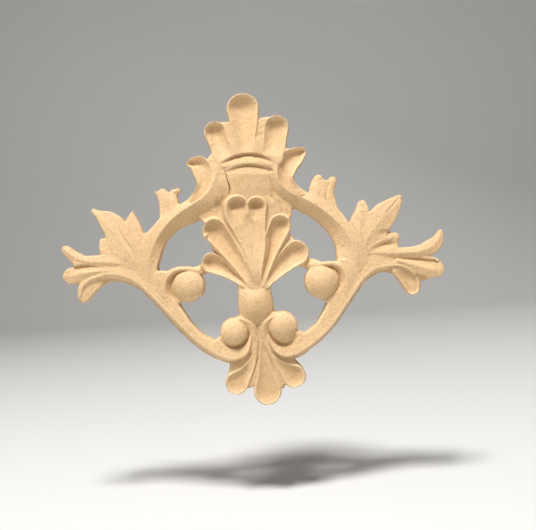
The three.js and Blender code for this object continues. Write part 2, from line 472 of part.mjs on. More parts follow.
// What the V gouge takes out of a groove, open to the front
function grooveBody(stroke) {
  const around = columns(stroke);
  const open = () => GOUGE_TOP;
  return closedBody([
    ringAt(around, 0, (column) => column.height),
    ringAt(around, 1, () => stroke.form.land),
    ringAt(around, 1, open),
    ringAt(around, 0, open),
  ]);
}

const wasm = await Module();
wasm.setup();

function toManifold(geometry) {
  for (const name of ['normal', 'uv']) {
    geometry.deleteAttribute(name);
  }
  const merged = mergeVertices(geometry, MERGE);
  const corners = Array.from(merged.index.array);
  const kept = [];
  for (let i = 0; i < corners.length; i += 3) {
    const [a, b, c] = corners.slice(i, i + 3);
    if (a !== b && b !== c && c !== a) {
      kept.push(a, b, c);
    }
  }
  const mesh = new wasm.Mesh({
    numProp: 3,
    vertProperties: new Float32Array(merged.attributes.position.array),
    triVerts: new Uint32Array(kept),
  });
  mesh.merge();
  return new wasm.Manifold(mesh);
}

function toGeometry(solid) {
  const { vertProperties, triVerts } = solid.getMesh();
  const geometry = new THREE.BufferGeometry();
  geometry.setAttribute('position', new THREE.BufferAttribute(new Float32Array(vertProperties), 3));
  geometry.setIndex(new THREE.BufferAttribute(new Uint32Array(triVerts), 1));
  geometry.computeVertexNormals();
  return geometry;
}

// A block in front of the back plane, which trims the back flat
function frontBlock() {
  const block = new THREE.BoxGeometry(2 * WIDTH, 2 * THICKNESS, 2 * WIDTH);
  block.translate(0, -THICKNESS, 0);
  return toManifold(block);
}

// The largest piece of a solid: slivers that the gouges cut free fall away
function largest(solid) {
  const [first] = solid.decompose().sort((a, b) => b.volume() - a.volume());
  return first;
}

// Raises the strokes one after the other and hollows each petal out of all that was there before it,
// then cuts the grooves
function carve() {
  let whole = null;
  for (const stroke of [...FRAME, ...LEAVES, ...CROWN, ...SCROLLS, ...FAN, ...FOOT]) {
    if (stroke.kind !== 'spoon') {
      const body = raisedBody(stroke);
      whole = whole ? whole.add(body) : body;
    }
    if (stroke.form.hollow) {
      whole = whole.subtract(spoonBody(stroke));
    }
  }
  for (const cut of CUTS) {
    whole = whole.subtract(grooveBody(cut));
  }
  return largest(whole.intersect(frontBlock()));
}

const wood = new THREE.MeshStandardMaterial({ color: PALE_PULP, roughness: MATT, metalness: 0 });
const applique = new THREE.Mesh(toGeometry(carve()), wood);
applique.name = 'applique';

const group = new THREE.Group();
group.add(applique);
export default group;
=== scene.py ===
import math

import bmesh
import bpy
import numpy as np
from mathutils import Matrix, Vector


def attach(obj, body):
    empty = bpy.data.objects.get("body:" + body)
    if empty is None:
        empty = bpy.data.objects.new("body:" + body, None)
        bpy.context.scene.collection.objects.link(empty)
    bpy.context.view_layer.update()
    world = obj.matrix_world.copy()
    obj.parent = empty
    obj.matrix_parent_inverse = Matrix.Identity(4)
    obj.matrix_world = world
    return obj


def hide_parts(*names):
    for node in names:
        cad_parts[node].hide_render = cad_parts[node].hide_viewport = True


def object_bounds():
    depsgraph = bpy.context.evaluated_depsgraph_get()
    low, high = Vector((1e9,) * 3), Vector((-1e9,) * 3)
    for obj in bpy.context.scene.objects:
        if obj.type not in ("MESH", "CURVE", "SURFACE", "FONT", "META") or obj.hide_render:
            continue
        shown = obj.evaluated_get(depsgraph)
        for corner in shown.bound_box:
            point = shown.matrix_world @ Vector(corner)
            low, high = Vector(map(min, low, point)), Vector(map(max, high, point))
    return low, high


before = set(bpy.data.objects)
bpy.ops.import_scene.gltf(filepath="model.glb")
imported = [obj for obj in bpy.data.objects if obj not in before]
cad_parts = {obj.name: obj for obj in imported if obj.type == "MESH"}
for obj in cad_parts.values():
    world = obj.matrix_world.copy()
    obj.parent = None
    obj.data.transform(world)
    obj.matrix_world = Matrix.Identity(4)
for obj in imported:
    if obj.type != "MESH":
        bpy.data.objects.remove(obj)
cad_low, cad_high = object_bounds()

# The carver's grid: places and half-widths are given on a grid this many units wide,
# x to the right and z up seen from the front, and heights as shares of the thickness
GRID_WIDTH = 100.8
WIDTH_MM, THICKNESS_MM = 145, 10  # the part's own driving sizes
THICKNESS = THICKNESS_MM * GRID_WIDTH / WIDTH_MM  # the mould's full depth on that grid
UNIT = (cad_high.x - cad_low.x) / GRID_WIDTH  # one grid unit, in metres
INSET = 0.00002  # how far the finished piece keeps inside the frame's box

# Fineness of the carved surface
SPACING = 0.205  # between two points of the surface, on the grid
SPAN_SAMPLES = 16  # points on a stroke's centre line between two stations
MARGIN = 2.0  # how far round a stroke its slope is worked out
CARVED_X = (-52, 51.5)  # from where to where the surface is worked out
CARVED_Z = (-42, 42.5)
FAR_BELOW = -9.0  # depth and height where no stroke has been yet
STRAIGHT = 1e-9  # the least bend that a parabola through three distances is given
LEAST_CROSSING = 0.08  # how near to a grid point an edge may cross the outline
SHARP_ANGLE = 58  # degrees between two faces past which their edge is shown sharp

# Shape of the strokes
PETAL_RIM = 0.9  # where the rim of a petal stands, as a share of its half-width
PETAL_EDGE = 0.94  # height of a petal's outer edge beside its rim
PROUD_EDGE = 0.92  # the same for the prouder petals of the fan and the middle of the crown
PETAL_FALL = 1.6  # how fast a petal falls from its rim to its edge, from 1 for straight
PETAL_HOLLOW = 0.40  # depth of a petal's hollow beside its rim
LEAF_EDGE = 0.72  # height of a leaf's edge beside its midrib
DOME_POWER = 0.75  # from 0.5 for half an ellipse to 1 for a flat parabola
SPOON_LIP = 4.0  # how fast the gouge lifts past the rim
SPOON_WALL = 2.4  # how steep its wall stands, from 1 for a V
WEB_EDGE = 0.96  # height of a plain web's edge beside its middle
BALL_EDGE = 0.62  # height of a ball's edge beside its top
CREST_SOFTNESS = 0.035  # how far a midrib is rounded over
SIDE_SLOPE = 1.3  # how steeply a stroke falls to what lies beside it
LEAST_RISE = 0.24  # the thinnest edge, as a share of the thickness
LOWEST_TOP = 1.15  # the lowest surface inside the edge, beside the thinnest edge
EDGE_SHARE = 0.35  # how much of its rise the surface keeps right at the outline
HOLLOW_SMOOTHINGS = 14  # how often the surface is smoothed to tell its hollows
ALONG_PETAL = (0, 0.35, 0.7, 1)  # where a straight petal has its stations

# Forms of petals: their hollow and the height of their edge
NECK_LEAF_FORM = {"hollow": 0.36, "edge": 0.88}  # the two leaves that curl out from the neck
FAN_CENTRE_FORM = {"hollow": 0, "edge": PROUD_EDGE}  # the double middle petal, still solid
FOOT_FORM = {"hollow": 0.28, "edge": PETAL_EDGE}  # the shallow petals of the foot
WING_LOBE_FORM = {"hollow": 0.36, "edge": PETAL_EDGE}  # the lowest petal of the right wing

# How softly the strokes run into each other, on the grid
OUTLINE_BLEND = 0.5
SURFACE_BLEND = 0.09
EDGE_ROUND = 0.32

# Slow unevenness of the outline and of the surface, on the grid: how far, and its waves
OUTLINE_WANDER = 0.06
OUTLINE_WAVES = {"seed": 3, "finest": 1.2, "coarsest": 5, "waves": 14}
SURFACE_WANDER = 0.025
SURFACE_WAVES = {"seed": 5, "finest": 1.5, "coarsest": 7, "waves": 18}
WAVE_HEIGHT = 0.8  # of a single wave, so that all together reach about 1

# Colours of the pulp, light as the shader takes them
PULP_LIGHT = (0.76, 0.52, 0.28, 1)
PULP_DARK = (0.70, 0.465, 0.24, 1)
# painted shade, mixed in where the surface lies in a hollow
PULP_PAINTED_SHADE = (0.50, 0.27, 0.11, 1)
# painted highlight, mixed in on rims and crests
PULP_PAINTED_HIGHLIGHT = (0.84, 0.62, 0.37, 1)
PULP_SPECK = (0.40, 0.25, 0.12, 1)
# painted shade for the darker patches
PULP_PATCH_SHADE = (0.46, 0.30, 0.15, 1)
FLOOR_COLOUR = (0.68, 0.67, 0.65, 1)
WHITE = (1, 1, 1, 1)

# Patterns in the pulp: how fine they are to the metre, and their detail
PATCHES = {"scale": 45, "detail": 3, "roughness": 0.5}
SPECKLE = {"scale": 1500, "detail": 3, "roughness": 0.65}
CLOTS = {"scale": 650, "detail": 4, "roughness": 0.7}
GRAIN = {"scale": 1250, "detail": 4, "roughness": 0.7}
SWELL = {"scale": 380, "detail": 2, "roughness": 0.5}

# What a pattern or an attribute does: its value from and to, and the share from and to
PATCH_RANGE = (0.35, 0.65, 0.0, 1.0)  # from the dark to the light pulp
PAINTED_SHADE_RANGE = (0.03, 0.35, 0.0, 0.7)  # painted shade: darker in the hollows
PAINTED_HIGHLIGHT_RANGE = (-0.06, -0.35, 0.0, 0.55)  # painted highlight: lighter on rims and crests
CLOT_RANGE = (0.42, 0.62, 0.25, 1.0)  # how the painted shade of the patches clots
SPECK_RANGE = (0.52, 0.70, 0.0, 0.62)  # dark specks
GLOSS_RANGE = (0.3, 0.7, 0.56, 0.72)  # roughness of the finish
SHEEN = 0.35  # how much the matt surface still mirrors
SWELL_SHARE = 0.6  # height of the slow swell in the grain beside the fine one
GRAIN_HEIGHT = 0.0004  # in metres
FLOOR_ROUGHNESS = 0.9

# Sockets of the node that mixes two colours
MIX_SHARE, MIX_FIRST, MIX_SECOND, MIX_RESULT = 0, 6, 7, 2

# The photograph's frame: how the piece leans in it, its scale and where its origin lies
IMAGE_WIDTH, IMAGE_HEIGHT = 536, 530
LEAN = 3.5  # degrees
PIXELS_A_UNIT = 3.8
ORIGIN_PIXEL = (254.5, 250.0)
LENS, SENSOR = 50, 36
OUTLINE_DEPTH = 0.0028  # how far before the back the seen outline lies, in metres

# Stage and lights, in metres and watts
FLOOR_Z = -0.095
FLOOR_FRONT = 1.6
FLOOR_HALF = 1.8
WALL_Y = 1.5
WALL_HEIGHT = 1.6
BEND = 0.5
BEND_POINTS = 17
KEY_PLACE, KEY_SIZE, KEY_POWER = (-0.12, -0.46, 0.95), 0.22, 17.6
FILL_PLACE, FILL_SIZE, FILL_POWER = (-0.5, -1.1, 0.1), 0.9, 2.0
BEHIND_PLACE, BEHIND_SIZE, BEHIND_POWER = (0.5, 0.9, 0.8), 0.9, 2.5
WORLD_LIGHT = 0.12


def band(name, kind, form, stations):
    """A stroke: its kind of section, its form and its stations, each of x, z, half-width to the
    left, half-width to the right and height."""
    return {"name": name, "kind": kind, "form": form, "stations": stations}


def leaf(name, stations, left=LEAF_EDGE, right=LEAF_EDGE):
    """A leaf or stem with a midrib. The heights of its two edges, as shares of the midrib's, are
    the same all along or follow each station's height."""
    stations = [station + [left, right] if len(station) == 5 else station for station in stations]
    return band(name, "ridge", {}, stations)


def web(name, stations):
    """Plain ground between the leaves: stations of x, z, half-width and height."""
    return band(name, "web", {}, [[x, z, half, half, height] for x, z, half, height in stations])


def ball(name, x, z, radius, height):
    """A ball of that radius whose top stands at that height."""
    return band(name, "round", {"edge": BALL_EDGE}, [[x, z, radius, radius, height]])


def lobe(name, root, tip, halves, heights, bow=0, edge=PETAL_EDGE):
    """A hollow petal: its middle is the line from root to tip, bowed aside by 4 bow t (1 - t),
    and it widens evenly to its round tip."""
    root, tip = np.array(root), np.array(tip)
    ahead = (tip - root) / np.linalg.norm(tip - root)
    aside = np.array([-ahead[1], ahead[0]])
    stations = []
    for along in ALONG_PETAL:
        place = root + (tip - root) * along + aside * bow * 4 * along * (1 - along)
        half = halves[0] + (halves[1] - halves[0]) * along
        height = heights[0] + (heights[1] - heights[0]) * along
        stations.append([*place, half, half, height])
    return band(name, "petal", {"hollow": PETAL_HOLLOW, "edge": edge}, stations)


def groove(name, stations, left, right):
    """A cut below the surface, with for each side the power that its wall rises with, from 1 for
    a plain V to 3 for a flat floor with steep walls."""
    return band(name, "groove", {"left": left, "right": right}, stations)


# Stems and lower sweeps that make the pierced frame; the sweeps end as the rims of the scrolls
FRAME = [
    leaf("stem_left", [
        [-8.0, 22.5, 2.2, 2.4, 0.60, 0.90, 0.90], [-9.4, 18.4, 3.0, 3.4, 0.63, 0.85, 0.90],
        [-11.9, 15.0, 4.0, 2.8, 0.66, 0.70, 0.80], [-15.5, 12.8, 4.2, 1.9, 0.67, 0.45, 0.75],
        [-18.8, 10.9, 3.6, 2.0, 0.66, 0.42, 0.72], [-21.7, 8.7, 2.8, 2.5, 0.64, 0.45, 0.75],
        [-24.8, 5.2, 2.4, 2.9, 0.62, 0.55, 0.80], [-26.6, 1.8, 2.5, 3.3, 0.60, 0.70, 0.85],
        [-28.0, -2.0, 2.6, 3.6, 0.58, 0.85, 0.85], [-28.2, -5.4, 2.6, 2.6, 0.56, 0.90, 0.90],
    ]),
    leaf("stem_right", [
        [6.6, 22.5, 2.4, 2.2, 0.60, 0.90, 0.90], [7.6, 18.2, 3.6, 2.8, 0.66, 0.85, 0.70],
        [10.0, 14.9, 2.6, 3.6, 0.68, 0.75, 0.55], [13.6, 12.7, 1.9, 3.2, 0.68, 0.72, 0.45],
        [17.5, 10.2, 2.4, 3.2, 0.66, 0.72, 0.42], [21.0, 7.2, 2.7, 3.4, 0.64, 0.72, 0.42],
        [23.8, 4.0, 2.1, 3.9, 0.62, 0.80, 0.45], [25.6, 0.2, 2.6, 4.3, 0.60, 0.85, 0.50],
        [26.5, -3.8, 3.0, 4.9, 0.58, 0.85, 0.70], [26.0, -8.0, 2.6, 4.2, 0.56, 0.90, 0.90],
    ]),
    leaf("sweep_left", [
        [-46.4, -9.2, 0.9, 1.85, 0.36], [-45.9, -7.2, 1.1, 2.8, 0.40],
        [-43.9, -5.4, 1.3, 3.0, 0.44], [-41.2, -4.5, 1.6, 2.5, 0.47], [-38.3, -4.1, 2.6, 1.9, 0.50],
        [-34.0, -5.1, 3.2, 1.6, 0.54], [-30.3, -7.5, 3.8, 1.15, 0.57],
        [-27.0, -11.0, 4.4, 1.1, 0.59], [-23.9, -14.6, 3.8, 1.2, 0.60],
        [-20.0, -19.1, 2.6, 1.45, 0.60], [-16.4, -22.9, 2.35, 1.45, 0.60],
        [-12.2, -26.2, 3.0, 1.4, 0.60], [-9.2, -27.7, 3.2, 1.3, 0.60],
        [-6.6, -28.2, 2.6, 1.2, 0.60], [-4.2, -27.3, 1.8, 1.1, 0.60], [-2.9, -25.6, 1.3, 1.0, 0.60],
        [-2.3, -23.4, 0.9, 0.9, 0.58], [-2.2, -21.4, 0.6, 0.6, 0.54],
    ], 0.86, 0.40),
    leaf("sweep_right", [
        [41.5, -12.4, 1.9, 0.8, 0.34], [42.0, -10.2, 3.8, 0.7, 0.38], [40.9, -7.9, 3.5, 1.1, 0.43],
        [38.7, -6.7, 2.8, 1.2, 0.46], [36.2, -6.3, 2.1, 1.6, 0.49], [33.6, -6.5, 1.4, 2.8, 0.52],
        [31.0, -7.1, 1.35, 3.6, 0.54], [28.0, -9.3, 1.1, 4.0, 0.57], [25.4, -12.6, 0.95, 4.5, 0.59],
        [22.6, -16.3, 0.95, 4.5, 0.60], [19.5, -20.4, 0.9, 3.8, 0.60],
        [16.3, -23.4, 1.0, 3.3, 0.60], [12.6, -26.0, 1.1, 3.4, 0.60], [9.6, -27.6, 1.3, 3.2, 0.60],
        [6.8, -28.1, 1.2, 2.6, 0.60], [4.6, -27.4, 1.1, 1.9, 0.60], [3.2, -25.8, 1.0, 1.3, 0.60],
        [2.4, -23.6, 0.9, 0.9, 0.58], [2.1, -21.6, 0.6, 0.6, 0.54],
    ], 0.40, 0.86),
]

# Three-pointed leaves, small leaves and the leafy ends of the wings
LEAVES = [
    leaf("leaf_left_main", [
        [-31.5, -2.0, 3.2, 3.2, 0.52], [-34.0, 3.4, 3.6, 3.4, 0.50], [-37.6, 8.3, 2.1, 3.7, 0.44],
        [-40.3, 11.2, 1.0, 1.6, 0.38], [-41.8, 12.75, 0.6, 0.6, 0.32],
    ], 0.90, 0.82),
    leaf("leaf_left_inner", [
        [-30.4, -1.0, 2.8, 2.8, 0.52], [-31.1, 4.0, 2.8, 2.7, 0.48], [-31.5, 8.2, 2.4, 1.75, 0.42],
        [-31.7, 11.1, 0.6, 0.6, 0.34],
    ], 0.84, 0.88),
    web("leaf_left_tooth_high", [[-35.6, 3.4, 2.4, 0.47], [-39.8, 4.55, 0.85, 0.38]]),
    web("leaf_left_tooth_middle", [[-35.6, 2.4, 2.6, 0.47], [-39.4, 3.2, 1.4, 0.40]]),
    web("leaf_left_tooth_low", [[-35.0, 0.6, 2.4, 0.48], [-39.6, 1.9, 1.1, 0.41]]),
    leaf("leaf_right_main", [
        [27.5, -2.5, 3.0, 3.2, 0.52], [31.2, 3.0, 3.7, 3.6, 0.50], [34.8, 7.2, 3.2, 3.2, 0.45],
        [37.6, 10.1, 1.6, 2.0, 0.38], [39.3, 11.7, 0.5, 0.5, 0.32],
    ], 0.86, 0.82),
    leaf("leaf_right_inner", [
        [27.4, -1.0, 2.8, 2.8, 0.52], [27.8, 4.0, 2.7, 2.8, 0.48], [28.6, 8.0, 1.7, 2.3, 0.43],
        [29.1, 10.1, 1.25, 1.25, 0.36],
    ], 0.86, 0.90),
    leaf("leaf_right_tooth", [
        [29.0, -2.0, 2.6, 2.6, 0.50], [33.6, 0.5, 2.4, 2.2, 0.44], [37.2, 1.0, 1.3, 1.3, 0.36],
    ], 0.80, 0.80),
    web("leaf_web_right", [[32.2, -1.4, 1.8, 0.40], [36.4, -0.9, 1.6, 0.36]]),
    leaf("bud_left_outer", [
        [-22.0, 9.5, 2.4, 1.8, 0.52], [-22.6, 13.6, 1.7, 1.7, 0.44], [-23.4, 16.2, 1.3, 1.45, 0.35],
    ], 0.84, 0.84),
    leaf("bud_left_tooth", [[-23.6, 15.4, 1.0, 0.9, 0.35], [-25.1, 16.8, 0.3, 0.3, 0.28]]),
    leaf("bud_left_inner", [
        [-20.4, 11.0, 1.8, 1.8, 0.52], [-20.8, 14.2, 1.7, 1.4, 0.42], [-20.5, 16.7, 0.6, 0.6, 0.32],
    ], 0.84, 0.84),
    leaf("bud_left_whisker", [[-20.5, 15.6, 0.6, 0.6, 0.32], [-19.2, 17.0, 0.35, 0.35, 0.24]]),
    leaf("bud_right_inner", [
        [16.8, 11.5, 2.2, 2.6, 0.52], [17.2, 15.0, 1.8, 2.2, 0.44], [17.9, 17.45, 1.3, 1.35, 0.35],
    ], 0.84, 0.90),
    leaf("bud_right_outer", [
        [20.8, 9.0, 2.2, 2.0, 0.52], [20.6, 13.6, 1.8, 1.3, 0.42], [21.65, 16.8, 1.25, 1.2, 0.35],
    ], 0.84, 0.84),
    web("bud_web_left", [[-22.0, 11.5, 2.0, 0.42], [-22.2, 14.6, 2.0, 0.34]]),
    web("bud_web_right", [[18.8, 12.0, 2.2, 0.44], [19.3, 15.2, 2.0, 0.37]]),
    leaf("wing_left_upper", [
        [-32.0, -2.0, 2.0, 2.0, 0.48], [-36.5, -1.2, 2.2, 2.2, 0.50], [-40.5, -0.7, 1.8, 1.8, 0.48],
        [-44.8, -0.2, 1.4, 1.4, 0.45], [-47.6, 1.3, 1.7, 1.25, 0.40],
        [-49.8, 3.1, 1.05, 1.05, 0.34],
    ], 0.80, 0.86),
    leaf("wing_right_upper", [
        [29.0, -2.6, 1.6, 1.6, 0.46], [34.0, -2.9, 2.0, 2.0, 0.50], [38.5, -3.1, 1.4, 1.6, 0.49],
        [43.5, -3.0, 1.65, 1.6, 0.46], [46.6, -1.8, 1.7, 2.2, 0.41], [48.6, 0.1, 1.1, 1.5, 0.35],
        [49.5, 2.2, 0.3, 0.3, 0.28],
    ], 0.84, 0.80),
    leaf("wing_left_middle", [
        [-37.0, -3.2, 1.0, 1.0, 0.50], [-42.0, -3.1, 1.5, 1.5, 0.48], [-45.4, -3.4, 1.9, 2.2, 0.45],
        [-48.6, -4.1, 2.0, 2.3, 0.39],
    ], 0.84, 0.90),
    leaf("wing_right_middle", [
        [37.5, -5.1, 0.9, 0.9, 0.50], [40.5, -5.9, 1.6, 1.5, 0.48], [43.0, -6.8, 2.3, 2.0, 0.46],
        [46.0, -7.8, 3.2, 2.2, 0.42], [47.5, -8.2, 2.3, 2.0, 0.38],
    ], 0.84, 0.86),
    web("wing_web_left", [[-43.0, -4.6, 1.6, 0.38], [-47.2, -4.9, 1.3, 0.32]]),
    web("wing_notch_left", [[-44.0, -1.4, 1.2, 0.42], [-46.8, -0.9, 1.1, 0.40]]),
    web("wing_lobe_left", [
        [-41.6, -5.9, 1.1, 0.37], [-44.1, -7.4, 1.9, 0.36], [-45.6, -9.4, 1.6, 0.32],
    ]),
    web("wing_web_right", [[41.6, -7.4, 2.0, 0.38], [44.2, -9.2, 1.6, 0.30]]),
    band("wing_lobe_right", "petal", WING_LOBE_FORM, [
        [37.0, -7.4, 1.1, 1.3, 0.43], [39.0, -9.0, 1.8, 2.0, 0.40], [40.5, -10.9, 2.1, 2.2, 0.37],
        [41.0, -12.4, 1.85, 1.85, 0.34],
    ]),
    web("valley_left", [[-28.0, 5.1, 1.2, 0.46]]),
]

# Crown of three hollow petals, neck, and the two leaves that spring from it
CROWN = [
    web("shoulder_left", [
        [-8.8, 14.0, 2.0, 0.45], [-8.2, 17.0, 2.8, 0.60], [-8.4, 20.0, 3.2, 0.60],
        [-8.6, 23.6, 2.4, 0.57],
    ]),
    web("shoulder_right", [[8.0, 18.6, 2.4, 0.54], [8.4, 21.4, 3.0, 0.56], [8.9, 24.3, 2.2, 0.57]]),
    band("neck", "round", {}, [
        [-0.4, 24.6, 5.8, 5.8, 0.62, 0.9, 0.9], [-0.5, 20.5, 6.6, 6.4, 0.66, 0.75, 0.80],
        [-0.6, 16.0, 6.9, 6.6, 0.65, 0.60, 0.70], [-0.8, 10.0, 6.0, 6.0, 0.56, 0.60, 0.70],
    ]),
    web("crown_web_left", [
        [-5.4, 24.6, 3.8, 0.60], [-6.4, 28.2, 3.6, 0.575], [-6.0, 31.5, 2.5, 0.55],
    ]),
    web("crown_web_right", [
        [5.4, 24.6, 3.8, 0.60], [6.4, 28.4, 3.7, 0.575], [5.0, 32.0, 2.6, 0.55],
    ]),
    web("crown_web", [[-0.3, 25.0, 5.0, 0.60], [-0.2, 30.2, 5.0, 0.56], [-0.2, 33.0, 3.4, 0.54]]),
    band("neck_leaf_left", "petal", NECK_LEAF_FORM, [
        [-15.6, 14.2, 0.8, 1.0, 0.52], [-13.4, 15.9, 1.35, 1.5, 0.57],
        [-12.1, 18.4, 2.0, 2.1, 0.60], [-12.7, 21.8, 2.5, 3.0, 0.58], [-13.7, 23.4, 2.0, 2.1, 0.50],
        [-15.9, 23.8, 0.7, 0.7, 0.38],
    ]),
    band("neck_leaf_right", "petal", NECK_LEAF_FORM, [
        [13.4, 13.9, 1.0, 1.0, 0.52], [10.9, 15.9, 1.6, 1.3, 0.57], [9.5, 18.5, 2.3, 1.9, 0.60],
        [10.4, 21.8, 2.9, 2.6, 0.58], [12.2, 23.8, 2.4, 2.4, 0.50], [14.1, 25.0, 1.1, 1.15, 0.40],
    ]),
    lobe("crown_left", [-6.1, 24.2], [-8.4, 31.3], [2.5, 3.0], [0.60, 0.56]),
    lobe("crown_right", [6.2, 24.2], [7.7, 31.6], [2.9, 3.35], [0.60, 0.56]),
    lobe("crown_centre", [-0.4, 24.0], [-0.8, 36.8], [1.7, 4.35], [0.64, 0.60], edge=PROUD_EDGE),
]

# Fan of five petals on a vase; the middle petal ends in two round hollows
FAN_CENTRE_LEFT = [
    [-0.2, -9.4, 0.7, 0.7, 0.60], [-0.2, -5.0, 1.3, 1.3, 0.70], [-0.8, 0.0, 1.8, 1.8, 0.70],
    [-1.6, 3.0, 2.4, 2.4, 0.69], [-2.75, 6.5, 2.85, 2.85, 0.69], [-3.75, 9.5, 3.25, 3.25, 0.69],
    [-3.75, 11.4, 3.15, 3.15, 0.69],
]
FAN_CENTRE_RIGHT = [
    [0.5, -9.4, 0.8, 0.8, 0.60], [0.6, -5.0, 1.2, 1.2, 0.70], [1.1, 0.0, 1.8, 1.8, 0.70],
    [1.3, 3.0, 1.9, 1.9, 0.69], [1.15, 6.5, 2.2, 2.2, 0.69], [1.1, 9.5, 2.55, 2.55, 0.69],
    [1.25, 11.2, 2.7, 2.7, 0.69],
]
FAN = [
    web("fan_web_left", [[-12.0, 9.6, 1.8, 0.42], [-9.0, 9.6, 2.4, 0.46], [-8.0, 12.5, 3.6, 0.46]]),
    web("fan_web_right", [[8.6, 8.9, 1.8, 0.44], [7.6, 12.5, 3.2, 0.45]]),
    web("fan_web_low_left", [
        [-10.0, 1.5, 1.3, 0.47], [-7.4, 1.2, 2.7, 0.50], [-5.8, -1.6, 1.8, 0.53],
    ]),
    web("fan_web_low_right", [[8.0, 1.4, 2.8, 0.50], [6.0, -1.6, 2.0, 0.53]]),
    web("fan_web", [[-0.3, -7.0, 2.6, 0.64], [-0.4, 0.0, 5.4, 0.63], [-0.6, 7.0, 8.3, 0.56]]),
    web("waist", [[-0.5, -7.4, 4.6, 0.58], [-0.5, -10.2, 4.1, 0.58]]),
    lobe("fan_low_left", [-2.2, -9.0], [-11.3, -2.7], [1.3, 2.75], [0.62, 0.54],
         bow=-0.5, edge=PROUD_EDGE),
    lobe("fan_low_right", [2.2, -9.0], [11.0, -1.4], [1.5, 3.3], [0.62, 0.54],
         bow=0.4, edge=PROUD_EDGE),
    lobe("fan_high_left", [-1.2, -9.0], [-10.1, 5.7], [1.1, 3.25], [0.63, 0.62],
         bow=-0.4, edge=PROUD_EDGE),
    lobe("fan_high_right", [1.2, -9.0], [7.1, 5.9], [1.1, 2.95], [0.63, 0.62],
         bow=0.5, edge=PROUD_EDGE),
    band("fan_centre_left", "petal", FAN_CENTRE_FORM, FAN_CENTRE_LEFT),
    band("fan_centre_right", "petal", FAN_CENTRE_FORM, FAN_CENTRE_RIGHT),
    band("fan_hollow_left", "spoon", {"hollow": 0.22}, FAN_CENTRE_LEFT),
    band("fan_hollow_right", "spoon", {"hollow": 0.22}, FAN_CENTRE_RIGHT),
    band("fan_floor", "spoon", {"hollow": 0.24}, [
        [0.2, -7.5, 1.4, 1.4, 0.70], [0.0, -2.0, 2.6, 2.6, 0.70], [-0.6, 3.5, 4.0, 4.0, 0.70],
        [-1.2, 6.2, 4.4, 4.4, 0.70],
    ]),
    band("vase", "round", {"edge": 0.48}, [
        [-0.5, -10.3, 3.5, 3.5, 0.62], [-0.6, -11.6, 4.4, 4.4, 0.78],
        [-0.55, -13.4, 4.6, 4.6, 0.85], [-0.45, -15.6, 4.6, 4.6, 0.80],
        [-0.4, -17.6, 3.6, 3.6, 0.68], [-0.4, -19.2, 1.6, 1.6, 0.58],
    ]),
    leaf("arm_left", [
        [-5.6, -18.0, 0.7, 0.7, 0.60], [-4.2, -18.0, 1.2, 1.1, 0.63], [-2.2, -19.2, 1.5, 1.4, 0.65],
        [-1.4, -21.4, 1.2, 1.4, 0.60], [-1.3, -23.6, 0.9, 1.2, 0.54],
    ], 0.80, 0.86),
    leaf("arm_right", [
        [5.4, -17.6, 0.7, 0.7, 0.60], [3.9, -17.7, 1.1, 1.2, 0.63], [1.7, -19.1, 1.4, 1.5, 0.65],
        [0.9, -21.4, 1.4, 1.2, 0.60], [1.1, -23.6, 1.2, 0.9, 0.54],
    ], 0.86, 0.80),
]

